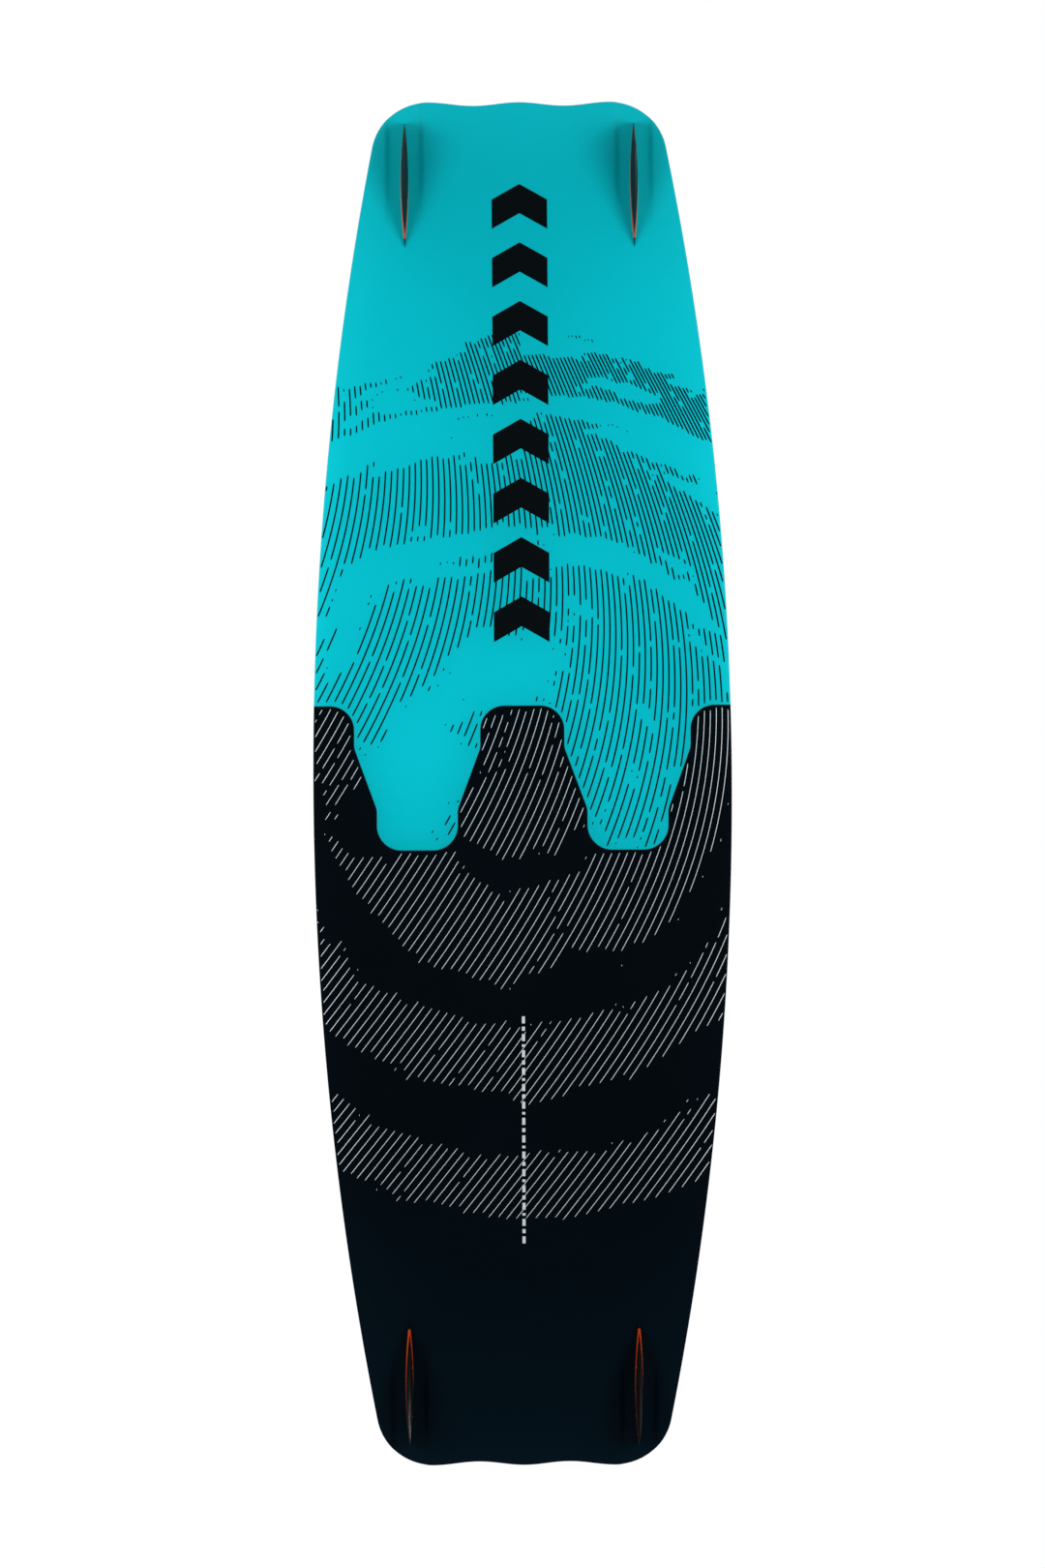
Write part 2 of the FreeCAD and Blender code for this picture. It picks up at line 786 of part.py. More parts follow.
def strap_plate(side, top, sign, face_y):
    centre = side * pad_y
    ys = sorted((centre + sign * face_y, centre + sign * (face_y + strap_plate_thickness)))
    zs = (top + strap_plate_low, top + strap_plate_high)
    plate = block((-strap_plate_half_x, strap_plate_half_x), ys, zs)
    plate = plate.makeFillet(strap_plate_corner, edges_along_y(plate))
    return cut_all(plate, strap_screw_bores(side, top))


def strap_screw(side, top, sign, x, face_y):
    """Screw from the end plate through strap and lug."""
    centre = side * pad_y
    start = Vector(x, centre + sign * lug_inner_y, top + strap_screw_z)
    direction = Vector(0, sign, 0)
    length = face_y + strap_plate_thickness - lug_inner_y
    shank = Part.makeCylinder(strap_screw_radius, length, start, direction)
    head = Part.makeCylinder(strap_screw_head, strap_screw_head_height, start + direction * length, direction)
    recess = hex_recess(strap_hex_flats, strap_hex_depth, 0, 0, 0)
    tilt = Rotation(Z, direction)
    top_of_head = start + direction * (length + strap_screw_head_height)
    return shank.fuse(head).cut(placed(recess, Placement(top_of_head, tilt)))


def pad_set(side, name):
    """Base, footbed, strap with its webbing, plates and screws, and the pad's own board screws."""
    centre = side * pad_y
    top = deck_z(0, pad_y) + pad_top
    parts[name + "_pad_base"] = pad_base(side, top)
    parts[name + "_footbed"] = footbed(side, top)
    strap_in = lug_outer_y
    strap = arch_band(strap_in, strap_thickness, strap_half_width, strap_arch_height, centre, top, lug_height)
    parts[name + "_strap"] = cut_all(strap, strap_screw_bores(side, top))
    web_in = strap_in + strap_thickness
    rise = strap_arch_height + strap_thickness
    web = arch_band(web_in, webbing_thickness, webbing_half_width, rise, centre, top, lug_height)
    parts[name + "_strap_webbing"] = cut_all(web, strap_screw_bores(side, top))
    face_y = web_in + webbing_thickness
    parts[name + "_strap_plates"] = group([strap_plate(side, top, sign, face_y) for sign in (-1, 1)])
    screws = []
    for sign in (-1, 1):
        for x in (-strap_screw_x, strap_screw_x):
            screws.append(strap_screw(side, top, sign, x, face_y))
    parts[name + "_strap_screws"] = group(screws)

    seat = top - slot_recess_depth + washer_gap
    washers = []
    board_screws = []
    for x in (-insert_row_x, insert_row_x):
        washers.append(tube(washer_radius, screw_radius, washer_height, x, centre, seat))
        insert_top = deck_z(x, centre) - insert_sink
        low = insert_top - insert_length + screw_end_gap
        screw = machine_screw(x, centre, seat + washer_height, low, insert_top, screw_head_radius)
        board_screws.append(screw)
    parts[name + "_pad_washers"] = group(washers)
    parts[name + "_pad_screws"] = group(board_screws)


# ================================================================ grab handle
def handle_foot_z(y):
    return deck_z(0, y) + handle_lift


def moved_sideways(line, distance):
    """Corners of a line in the y-z plane, moved up by a distance measured square to its runs."""
    moved = []
    for i, corner in enumerate(line):
        into = corner - line[i - 1] if i else line[1] - corner
        out = line[i + 1] - corner if i + 1 < len(line) else into
        normals = [Vector(0, run.z, -run.y).normalize() for run in (into, out)]
        moved.append(corner + (normals[0] + normals[1]) * (distance / (1 + normals[0].dot(normals[1]))))
    return moved


def handle_webbing():
    """Flat band with two tabs on the deck, raised between them."""
    fore, aft = handle_stations
    low_fore = handle_foot_z(fore)
    low_aft = handle_foot_z(aft)
    high = max(low_fore, low_aft) + handle_rise
    slope_start = handle_bend_start
    slope_end = handle_bend_start + handle_slope_run
    corners = [(fore + handle_tab, low_fore), (fore - slope_start, low_fore), (fore - slope_end, high),
               (aft + slope_end, high), (aft + slope_start, low_aft), (aft - handle_tab, low_aft)]
    under = [Vector(-handle_half_width, y, z) for y, z in corners]
    over = moved_sideways(under, handle_thickness)
    inner = handle_bend
    outer = handle_bend + handle_thickness
    radii = [0, outer, inner, inner, outer, 0]
    radii += [0, inner, outer, outer, inner, 0]
    side_face = Part.Face(rounded_path(under + over[::-1], radii, True))
    band = side_face.extrude(Vector(2 * handle_half_width, 0, 0))
    for y in handle_stations:
        band = band.cut(cylinder(screw_radius, prism_height, 0, y, prism_low))
    return band


def handle_parts():
    fore, aft = handle_stations
    web = handle_webbing()
    parts["handle_webbing"] = web
    high = max(handle_foot_z(fore), handle_foot_z(aft)) + handle_rise + handle_thickness / 2
    middle = (fore + aft) / 2
    grip = block((-grip_half_width, grip_half_width), (middle - grip_half_length, middle + grip_half_length),
                 (high - grip_half_height, high + grip_half_height))
    grip = grip.makeFillet(grip_corner, edges_along_y(grip))
    parts["handle_grip"] = grip.cut(web)
    screws = []
    washers = []
    inserts = []
    for y in handle_stations:
        seat = handle_foot_z(y) + handle_thickness
        washers.append(tube(handle_washer_radius, screw_radius, handle_washer_height, 0, y, seat))
        insert_top = deck_z(0, y) - insert_sink
        low = insert_top - handle_insert_length + screw_end_gap
        screws.append(machine_screw(0, y, seat + handle_washer_height, low, insert_top, screw_head_radius))
        inserts.append(deck_insert(0, y, handle_insert_length))
    parts["handle_screws"] = group(screws)
    parts["handle_washers"] = group(washers)
    parts["handle_inserts"] = group(inserts)


# ================================================================ build and export
hull_slab = slab(hull_z, 0, hull_z, skin)
core_slab = slab(hull_z, skin, deck_z, -skin)
deck_slab = slab(deck_z, -skin, deck_z, 0)
board_slab = slab(hull_z, 0, deck_z, 0)
under_pads = slab(deck_z, -30, pad_floor_z, 0)

for side, name in ((1, "nose"), (-1, "tail")):
    board_half(side, name)
    fins_of(side, name)
    pad_set(side, name)
for x, hand in ((-joiner_x, "left"), (joiner_x, "right")):
    parts["joiner_bar_" + hand] = joiner_bar(x)
    parts["socket_" + hand] = socket(x)
    parts["lock_collar_" + hand] = lock_collar(x)
    parts["lock_screw_" + hand] = lock_screw(x)
parts["joiner_rivets"] = group(rivets())
parts["lock_nut_plates"] = group([nut_plate(x) for x in (-joiner_x, joiner_x)])
handle_parts()

fin_names = [name for name in parts if name.endswith("_blade")]
lift = -min(parts[name].BoundBox.ZMin for name in fin_names)
os.makedirs("parts", exist_ok=True)
for name, shape in parts.items():
    shape.translate(Vector(0, 0, lift))
    shape.exportStep(os.path.join("parts", name + ".step"))
print("lift", round(lift, 4), "nodes", len(parts))
for name, shape in sorted(parts.items()):
    box = shape.BoundBox
    size = "%.1f x %.1f x %.1f" % (box.XLength, box.YLength, box.ZLength)
    volume = round(shape.Volume / 1000, 2)
    print(name, len(shape.Solids), "solids", size, "valid", shape.isValid(), volume, "cm3")
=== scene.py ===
"""Split twin-tip kiteboard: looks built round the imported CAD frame.

Lengths in this file are millimetres unless a name ends in _m; meshes are scaled to metres as they are made.
"""
import json
import math

import bpy
import numpy as np
from mathutils import Matrix, Vector, noise
from mathutils.geometry import delaunay_2d_cdt


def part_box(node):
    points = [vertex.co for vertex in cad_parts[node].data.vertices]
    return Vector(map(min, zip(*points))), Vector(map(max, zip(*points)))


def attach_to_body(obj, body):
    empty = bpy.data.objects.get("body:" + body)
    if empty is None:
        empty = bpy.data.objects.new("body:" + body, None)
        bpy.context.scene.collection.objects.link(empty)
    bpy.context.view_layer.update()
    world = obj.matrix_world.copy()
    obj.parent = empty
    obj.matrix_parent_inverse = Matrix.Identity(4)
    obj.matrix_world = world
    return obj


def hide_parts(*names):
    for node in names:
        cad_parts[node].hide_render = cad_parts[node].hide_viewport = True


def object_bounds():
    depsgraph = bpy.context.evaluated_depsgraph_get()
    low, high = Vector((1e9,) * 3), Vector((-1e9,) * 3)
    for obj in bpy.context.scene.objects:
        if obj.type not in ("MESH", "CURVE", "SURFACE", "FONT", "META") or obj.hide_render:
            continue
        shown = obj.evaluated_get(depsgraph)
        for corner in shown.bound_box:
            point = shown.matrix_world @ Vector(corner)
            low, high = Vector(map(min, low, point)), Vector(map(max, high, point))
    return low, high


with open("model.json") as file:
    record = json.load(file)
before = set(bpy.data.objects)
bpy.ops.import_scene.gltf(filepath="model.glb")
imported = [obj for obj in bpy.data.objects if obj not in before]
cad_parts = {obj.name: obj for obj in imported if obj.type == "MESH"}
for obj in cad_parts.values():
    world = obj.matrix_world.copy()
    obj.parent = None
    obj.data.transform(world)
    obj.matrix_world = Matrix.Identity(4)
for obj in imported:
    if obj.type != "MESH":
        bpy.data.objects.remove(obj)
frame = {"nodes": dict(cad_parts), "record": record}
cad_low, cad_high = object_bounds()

MM = 0.001
nodes = frame["nodes"]

# ---------------------------------------------------------------- the board's shape, as in the CAD
HALF_LENGTH = 690.0
HALF_WIDTH = 210.0
RAIL_ARC = 3400.0
CORNER_X = 92.0
TIP_WAVE = 3.5
ROCKER = 40.0
CONCAVE = 4.5
RAIL_THICK = 7.0
RAIL_BEVEL = 6.4
TIP_THICK = 8.0
MIDDLE_THICK = 14.0
CROWN_POWER = 2.2
SKIN = 0.8
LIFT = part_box("tail_hull_skin")[0].z / MM + CONCAVE

FIN_X = 116.0
FIN_Y = 605.0
FIN_LENGTH = 128.0
FIN_THICK = 7.8
FIN_DEPTH = 48.0
FIN_FOOT = 8.0
FIN_BLUNT = 0.45
FIN_STATIONS = (
    (0.0, 0.0, 128.0, 1.0),
    (0.2, 14.0, 126.0, 0.92),
    (0.4, 30.0, 122.0, 0.80),
    (0.6, 47.0, 117.0, 0.66),
    (0.8, 64.0, 110.0, 0.48),
    (0.95, 78.0, 102.0, 0.30),
    (1.0, 85.0, 97.0, 0.18),
)
CHANNEL_HALF = 17.5
CHANNEL_DEPTH = 2.5
CHANNEL_FADE = (540.0, 110.0)
DOUBLE_HALF = 98.0
DOUBLE_DEPTH = 1.6
DOUBLE_FADE = 590.0
CREASE_SOFT = 0.15

SEAM_GAP = 0.4
SEAM_CORNERS = (
    ((42.0, 78.0), 24.0),
    ((42.0, 36.0), 18.0),
    ((65.0, -26.0), 18.0),
    ((65.0, -67.0), 25.0),
    ((146.5, -67.0), 25.0),
    ((146.5, -26.0), 18.0),
    ((169.0, 36.0), 18.0),
    ((169.0, 78.0), 24.0),
)
LOBE_TOP = 78.0
PAD_Y = 265.0
ROW_X = 76.2
INSERT_PITCH = 25.4
INSERT_RADIUS = 5.0
BARE_INSERT_STEPS = (-3, 3)
JOINER_X = 105.7
LOCK_Y = -115.0
LOCK_RECESS_RADIUS = 10.0


def fade(value):
    value = max(0.0, min(1.0, value))
    return value * value * (3 - 2 * value)


def edge_x(y):
    return HALF_WIDTH - RAIL_ARC + math.sqrt(RAIL_ARC ** 2 - y * y)


def base_z(x, y):
    return LIFT + ROCKER * (y / HALF_LENGTH) ** 2 - CONCAVE * (x / HALF_WIDTH) ** 2


def hull_z(x, y):
    """Hull side. The channel walls are steeper than the CAD grid can carry."""
    z = base_z(x, y)
    channel = fade((abs(y) - CHANNEL_FADE[0]) / CHANNEL_FADE[1])
    across = (abs(x) - FIN_X) / CHANNEL_HALF
    z += CHANNEL_DEPTH * channel * math.exp(-min(across ** 8, 60.0))
    if abs(x) < DOUBLE_HALF:
        tips = fade((abs(y) - DOUBLE_FADE) / (HALF_LENGTH - DOUBLE_FADE))
        wave = math.sin(math.pi * x / DOUBLE_HALF)
        z += DOUBLE_DEPTH * tips * (math.hypot(wave, CREASE_SOFT) - CREASE_SOFT)
    return z


def thickness(x, y):
    middle = TIP_THICK + (MIDDLE_THICK - TIP_THICK) * (1 - (y / HALF_LENGTH) ** 2)
    out = min(1.0, abs(x) / edge_x(y))
    return RAIL_THICK + (middle - RAIL_THICK) * (1 - out ** CROWN_POWER)


def deck_z(x, y):
    return base_z(x, y) + thickness(x, y)


# ================================================================ mesh helpers
def make_piece(name, verts, faces, material, smooth=True):
    """New mesh object from points in millimetres."""
    mesh = bpy.data.meshes.new(name)
    mesh.from_pydata([Vector(v) * MM for v in verts], [], faces)
    mesh.materials.append(material)
    mesh.polygons.foreach_set("use_smooth", [smooth] * len(mesh.polygons))
    mesh.update()
    obj = bpy.data.objects.new(name, mesh)
    bpy.context.scene.collection.objects.link(obj)
    return obj


def sharpen(obj, degrees):
    """Smooth shading with creases kept at edges sharper than the given angle."""
    obj.data.set_sharp_from_angle(angle=math.radians(degrees))


def attach(obj, body, replaced=None):
    """The piece's body, and the CAD node it stands for."""
    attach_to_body(obj, body)
    if replaced:
        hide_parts(replaced)


def inside(points, ring):
    """Which points lie inside a closed polygon."""
    px, py = points[:, 0], points[:, 1]
    found = np.zeros(len(points), bool)
    x1, y1 = ring[-1]
    for x2, y2 in ring:
        crosses = (y1 > py) != (y2 > py)
        slope = (x2 - x1) / (y2 - y1) if y2 != y1 else 0.0
        found ^= crosses & (px < x1 + (py - y1) * slope)
        x1, y1 = x2, y2
    return found


def fill(ring, interior, holes=()):
    """Triangles over a ring and the interior points; the ring's and holes' points come first, in order."""
    coords = [Vector(p) for p in ring]
    edges = []
    start = 0
    for loop in (ring, *holes):
        count = len(loop)
        edges += [(start + i, start + (i + 1) % count) for i in range(count)]
        start += count
    for hole in holes:
        coords += [Vector(p) for p in hole]
    coords += [Vector(p) for p in interior]
    made = delaunay_2d_cdt(coords, edges, [], 0, 1e-6)
    points, triangles, origin = made[0], made[2], made[3]
    back = [source[0] if source else -1 for source in origin]
    middle = np.array([[sum(points[i][k] for i in t) / 3 for k in (0, 1)] for t in triangles])
    keep = inside(middle, ring)
    for hole in holes:
        keep &= ~inside(middle, hole)
    faces = []
    for triangle, wanted in zip(triangles, keep):
        if wanted:
            faces.append([back[i] for i in triangle])
    return [tuple(c) for c in coords], faces


def stitch_rings(first, second, count, flip):
    """Quads between two rings given by their first vertex numbers."""
    faces = []
    for i in range(count):
        j = (i + 1) % count
        quad = [first + i, first + j, second + j, second + i]
        faces.append(quad[::-1] if flip else quad)
    return faces


# ================================================================ plan outlines
def seam_path(offset):
    """The stepped seam from left to right, moved towards the nose by the offset."""
    right = list(SEAM_CORNERS)
    left = [((-x, y), r) for (x, y), r in reversed(right)]
    corners = [((-400.0, LOBE_TOP), 0.0)] + left + right + [((400.0, LOBE_TOP), 0.0)]
    points = [Vector(c[0]) for c in corners]
    normals = []
    for a, b in zip(points, points[1:]):
        d = (b - a).normalized()
        normals.append(Vector((-d.y, d.x)))
    path = []
    for i in range(1, len(points) - 1):
        n1, n2 = normals[i - 1], normals[i]
        corner = points[i] + (n1 + n2) * (offset / (1 + n1.dot(n2)))
        d1 = Vector((n1.y, -n1.x))
        d2 = Vector((n2.y, -n2.x))
        turn = d1.x * d2.y - d1.y * d2.x
        radius = corners[i][1] - offset * (1 if turn > 0 else -1)
        angle = d1.angle(d2)
        reach = radius * math.tan(angle / 2)
        centre = corner - d1 * reach + (n1 if turn > 0 else -n1) * radius
        steps = 4 + int(math.degrees(angle) / 8)
        arm = corner - d1 * reach - centre
        for k in range(steps + 1):
            a = angle * k / steps * (1 if turn > 0 else -1)
            path.append(centre + Vector((arm.x * math.cos(a) - arm.y * math.sin(a),
                                         arm.x * math.sin(a) + arm.y * math.cos(a))))
    return path


def spread(a, b, count):
    """Points between a and b, with neither end."""
    return [a + (b - a) * ((i + 1) / (count + 1)) for i in range(count)]


def thin_out(path):
    """The path with points added along its long straight runs, the same number for every offset."""
    done = [path[0]]
    for i, (a, b) in enumerate(zip(path, path[1:])):
        if straight_runs[i]:
            done += spread(a, b, straight_runs[i])
        done.append(b)
    return done


GRID_HALF = 208.0
FINE_GRID_START = 531.0
WALL_STEPS = (-3.2, -2.2, -1.4, -0.7, 0.0, 0.7, 1.4, 2.2, 3.2)
SEAM_REACH = 80.0
base_path = seam_path(0)
straight_runs = [int((b - a).length // 6) for a, b in zip(base_path, base_path[1:])]
CORNER_RADIUS = (RAIL_ARC ** 2 - HALF_LENGTH ** 2 - (CORNER_X - HALF_WIDTH + RAIL_ARC) ** 2)
CORNER_RADIUS /= 2 * (RAIL_ARC - HALF_LENGTH)
CORNER_Y = HALF_LENGTH - CORNER_RADIUS


def half_ring(side, rail_inset, seam_inset):
    """Closed outline of one half, anticlockwise seen from above; side +1 is the nose."""
    centre_x = HALF_WIDTH - RAIL_ARC
    towards = math.atan2(CORNER_Y, CORNER_X - centre_x)
    arc = RAIL_ARC - rail_inset
    start = LOBE_TOP + side * (seam_inset + SEAM_GAP / 2)
    end = side * arc * math.sin(towards)
    rail = []
    rail_steps = 90
    for i in range(rail_steps):
        y = start + (end - start) * i / rail_steps
        rail.append(Vector((centre_x + math.sqrt(arc ** 2 - y * y), y)))
    radius = CORNER_RADIUS - rail_inset
    corner_steps = 28
    for i in range(corner_steps):
        a = towards + (math.pi / 2 - towards) * i / corner_steps
        rail.append(Vector((CORNER_X + radius * math.cos(a), side * (CORNER_Y + radius * math.sin(a)))))
    tip = []
    tip_steps = 60
    for i in range(tip_steps + 1):
        x = CORNER_X * (1 - 2 * i / tip_steps)
        dip = TIP_WAVE * (1 - math.cos(2 * math.pi * x / CORNER_X)) / 2
        tip.append(Vector((x, side * (HALF_LENGTH - rail_inset - dip))))
    left = [Vector((-p.x, p.y)) for p in reversed(rail)]
    seam = thin_out(seam_path(side * (seam_inset + SEAM_GAP / 2)))
    ring = rail + tip + left + spread(left[-1], seam[0], 6) + seam + spread(seam[-1], rail[0], 6)
    if side < 0:
        ring.reverse()
    return ring


def seam_part(side):
    """For each ring point, whether it is on the seam and not on the outline."""
    ring = half_ring(side, 0, 0)
    return [abs(p.x) < edge_x(p.y) - 0.5 and abs(p.y) < 200 for p in ring]


def grid_lines(low, high, step, extra=()):
    """Even grid lines with extra ones added where the surface bends sharply."""
    count = int((high - low) // step)
    lines = [low + (high - low) * i / count for i in range(count + 1)]
    lines = [v for v in lines if all(abs(v - e) > 0.6 for e in extra)]
    return sorted(lines + list(extra))


def circle(x, y, radius):
    """Closed ring of points round a centre, anticlockwise."""
    turns = [2 * math.pi * k / 24 for k in range(24)]
    return [Vector((x + radius * math.cos(a), y + radius * math.sin(a))) for a in turns]


def deck_openings(side):
    """Rings round the deck inserts no pad covers and, in the tail half, round the lock recesses."""
    rings = []
    for x in (-ROW_X, ROW_X):
        for step in BARE_INSERT_STEPS:
            rings.append(circle(x, side * PAD_Y + step * INSERT_PITCH, INSERT_RADIUS))
    if side < 0:
        rings += [circle(x, LOCK_Y, LOCK_RECESS_RADIUS) for x in (-JOINER_X, JOINER_X)]
    return rings


def interior_points(side, ring, openings):
    """Grid points inside a half, closer together over the channel walls and clear of its openings."""
    near = []
    for centre in (-FIN_X, FIN_X):
        for wall in (-CHANNEL_HALF, CHANNEL_HALF):
            near += [centre + wall + step for step in WALL_STEPS]
    points = []
    for x in grid_lines(-GRID_HALF, GRID_HALF, 5.0, near):
        for y in grid_lines(FINE_GRID_START, HALF_LENGTH, 6.0):
            points.append((x, side * y))
    for x in grid_lines(-GRID_HALF, GRID_HALF, 7.0):
        for y in grid_lines(-SEAM_REACH, FINE_GRID_START - 6.0, 8.0):
            points.append((x, side * y))
    points = np.array(points)
    keep = inside(points, ring)
    for opening in openings:
        centre = sum(opening, Vector((0, 0))) / len(opening)
        reach = (opening[0] - centre).length + 1.5
        keep &= np.hypot(points[:, 0] - centre.x, points[:, 1] - centre.y) > reach
    return [tuple(p) for p in points[keep]]


# ================================================================ board shells
def shell(name, side, rings, heights, face_up, material, openings=()):
    """Closed skin: a filled outer face, rounded edge rings, and a filled back face."""
    clear = half_ring(side, rings[0][0] + 2.0, rings[0][1] + 2.0)
    grid = interior_points(side, [tuple(p) for p in clear], openings)
    holes = [[tuple(p) for p in opening] for opening in openings]
    verts, faces = [], []
    starts = []
    for inset, height in zip(rings, heights):
        starts.append(len(verts))
        for loop in (half_ring(side, *inset), *openings):
            verts += [(p.x, p.y, height(p.x, p.y)) for p in loop]
    count = len(half_ring(side, *rings[0]))
    block = starts[1]
    for start, inset, height, outer in ((starts[0], rings[0], heights[0], True),
                                        (starts[-1], rings[-1], heights[-1], False)):
        ring = [tuple(p) for p in half_ring(side, *inset)]
        grid_start = len(verts) - block
        verts += [(x, y, height(x, y)) for x, y in grid]
        for face in fill(ring, grid, holes)[1]:
            face = [i + (start if i < block else grid_start) for i in face]
            faces.append(face if face_up == outer else face[::-1])
    for upper, lower in zip(starts, starts[1:]):
        faces += stitch_rings(upper, lower, count, face_up)
        at = count
        for hole in holes:
            faces += stitch_rings(upper + at, lower + at, len(hole), not face_up)
            at += len(hole)
    obj = make_piece(name, verts, faces, material)
    sharpen(obj, 40)
    return obj


def hull_shell(side, half, material):
    rings = [(1.3, 0.7), (0.7, 0.35), (0.25, 0.1), (0.0, 0.0), (0.0, 0.0)]
    lifts = [0.0, 0.07, 0.25, 0.5, SKIN]
    heights = [lambda x, y, up=up: hull_z(x, y) + up for up in lifts]
    obj = shell(half + "_hull_print", side, rings, heights, False, material)
    attach(obj, half + "_half", half + "_hull_skin")


def deck_shell(side, half, material):
    insets = [(1.0, 0.7), (0.5, 0.3), (0.15, 0.0), (0.15, 0.0)]
    rings = [(RAIL_BEVEL + rail_inset, seam_inset) for rail_inset, seam_inset in insets]
    lifts = [0.0, -0.06, -0.3, -SKIN]
    heights = [lambda x, y, up=up: deck_z(x, y) + up for up in lifts]
    obj = shell(half + "_deck_print", side, rings, heights, True, material, deck_openings(side))
    attach(obj, half + "_half", half + "_deck_skin")


def rail_strip(side, half, material):
    """Edge strip with a bevel towards the deck; along the seam it stays below the skins."""
    # Each row: outline inset, surface and height over it; then the same for the part along the seam,
    # which nearly meets the other half, so that no light shows through.
    profile = (
        (RAIL_BEVEL, "deck", -0.05, 3.0, "deck", -SKIN - 0.05),
        (3.4, "deck", -0.95, 1.6, "deck", -SKIN - 0.05),
        (0.9, "deck", -2.0, 0.4, "deck", -SKIN - 0.05),
        (0.25, "deck", -2.5, -0.1, "deck", -SKIN - 0.2),
        (0.0, "deck", -3.1, -0.19, "deck", -SKIN - 0.5),
        (0.0, "hull", SKIN + 0.03, -0.19, "hull", SKIN + 0.05),
        (8.0, "hull", SKIN + 0.03, 3.0, "hull", SKIN + 0.05),
    )
    on_seam = seam_part(side)
    verts = []
    for rail_inset, rail_side, rail_lift, seam_inset, seam_side, seam_lift in profile:
        ring = half_ring(side, rail_inset, seam_inset)
        for p, seam in zip(ring, on_seam):
            level, lift = (seam_side, seam_lift) if seam else (rail_side, rail_lift)
            z = deck_z(p.x, p.y) if level == "deck" else hull_z(p.x, p.y)
            verts.append((p.x, p.y, z + lift))
    count = len(on_seam)
    faces = []
    for k in range(len(profile)):
        faces += stitch_rings(k * count, ((k + 1) % len(profile)) * count, count, True)
    obj = make_piece(half + "_rail_strip", verts, faces, material)
    sharpen(obj, 35)
    attach(obj, half + "_half", half + "_rail")


# ================================================================ printed graphics
LINE_PITCH = 5.9
LEAN = math.radians(40)
LEAN_LENGTH = 343.0
LEAN_SLOPE = 0.8
LEAN_START = 226.0
LINE_STEP = 2.5
PRINT_SEED = 3.0
PRINT_PROUD = 0.06
PRINT_RAIL_GAP = 1.2
PRINT_SEAM_GAP = 2.2


def lean_slope(p, q):
    """Sideways step per step down the board of a printed line; p is to the viewer's right, q down."""
    along = q - LEAN_SLOPE * p + LEAN_START
    return -math.tan(LEAN * math.tanh(along / LEAN_LENGTH))


def print_lines():
    """Long smooth lines that lean more and more away from a slanting front."""
    lines = []
    for k in range(-95, 96):
        seed_p = k * LINE_PITCH
        seed_q = LEAN_SLOPE * seed_p - LEAN_START
        halves = []
        for step in (-LINE_STEP, LINE_STEP):
            p, q = seed_p, seed_q
            points = []
            while -HALF_LENGTH < q < HALF_LENGTH and abs(p) < 600:
                points.append((p, q))
                middle = lean_slope(p + lean_slope(p, q) * step / 2, q + step / 2)
                p += middle * step
                q += step
            halves.append(points)
        lines.append(halves[0][::-1] + halves[1][1:])
    return lines


def ring_noise(radius, angle, around, across, seed):
    """Noise stretched along circles about the board's centre."""
    return noise.noise(Vector((angle * around, radius / across, seed)))


def band(radius, low, high):
    """Distance inside a ring, negative outside it."""
    return min(radius - low, high - radius)


NOSE_BANDS = ((-60, 92), (138, 236), (260, 352), (388, 436))
TAIL_BANDS = ((-60, 77), (106, 200), (246, 314), (372, 430))
PLAIN_PATCHES = ((-104, -14, 60), (-150, 40, 42), (-24, -112, 52), (66, 188, 30), (128, 176, 26))
PRINTED_PATCHES = ((92, -20, 66), (74, -96, 52), (116, 40, 40))


def print_density(p, q):
    """Positive where the hatch is printed: rings about the middle with ragged, streaky edges."""
    radius = math.hypot(p, q)
    angle = math.atan2(p, q)
    seed = PRINT_SEED
    wobble = 20 * ring_noise(radius, angle, 2.2, 120, seed)
    on_fingers = radius < 165 and abs(p) > 66 and q < 66
    if q < 0 or on_fingers:
        value = max(band(radius + wobble, low, high) for low, high in NOSE_BANDS)
        for x, y, size in PRINTED_PATCHES:
            value = max(value, min(24.0, size - math.hypot(p - x, q - y)))
        value = min(value, 26.0)
        value += 38 * ring_noise(radius, angle, 3.4, 15, seed + 5) - 4
        value += 12 * ring_noise(radius, angle, 15, 8, seed + 9)
        speck_level = 0.50
    else:
        value = max(band(radius + wobble * 0.6, low, high) for low, high in TAIL_BANDS)
        value += 12 * ring_noise(radius, angle, 4.5, 34, seed + 5) + 2
        speck_level = 0.62
    for x, y, size in PLAIN_PATCHES:
        edge = 14 * noise.noise(Vector((p / 26, q / 14, seed + 30)))
        value = min(value, math.hypot(p - x, (q - y) * 1.25) - size + edge)
    value += 7 * noise.noise(Vector((p / 7, q / 7, seed + 2)))
    speck = noise.noise(Vector((p / 5, q / 9, seed + 20)))
    return min(value, 60 * (speck + speck_level))


def dashes(lines, side):
    """The stretches of each line that are printed on one half or across the seam."""
    found = []
    for line in lines:
        run = []
        for p, q in line:
            if side * q < SEAM_REACH and print_density(p, q) > 0:
                run.append((p, q))
                continue
            if run:
                found.append(run)
            run = []
        if run:
            found.append(run)
    return found


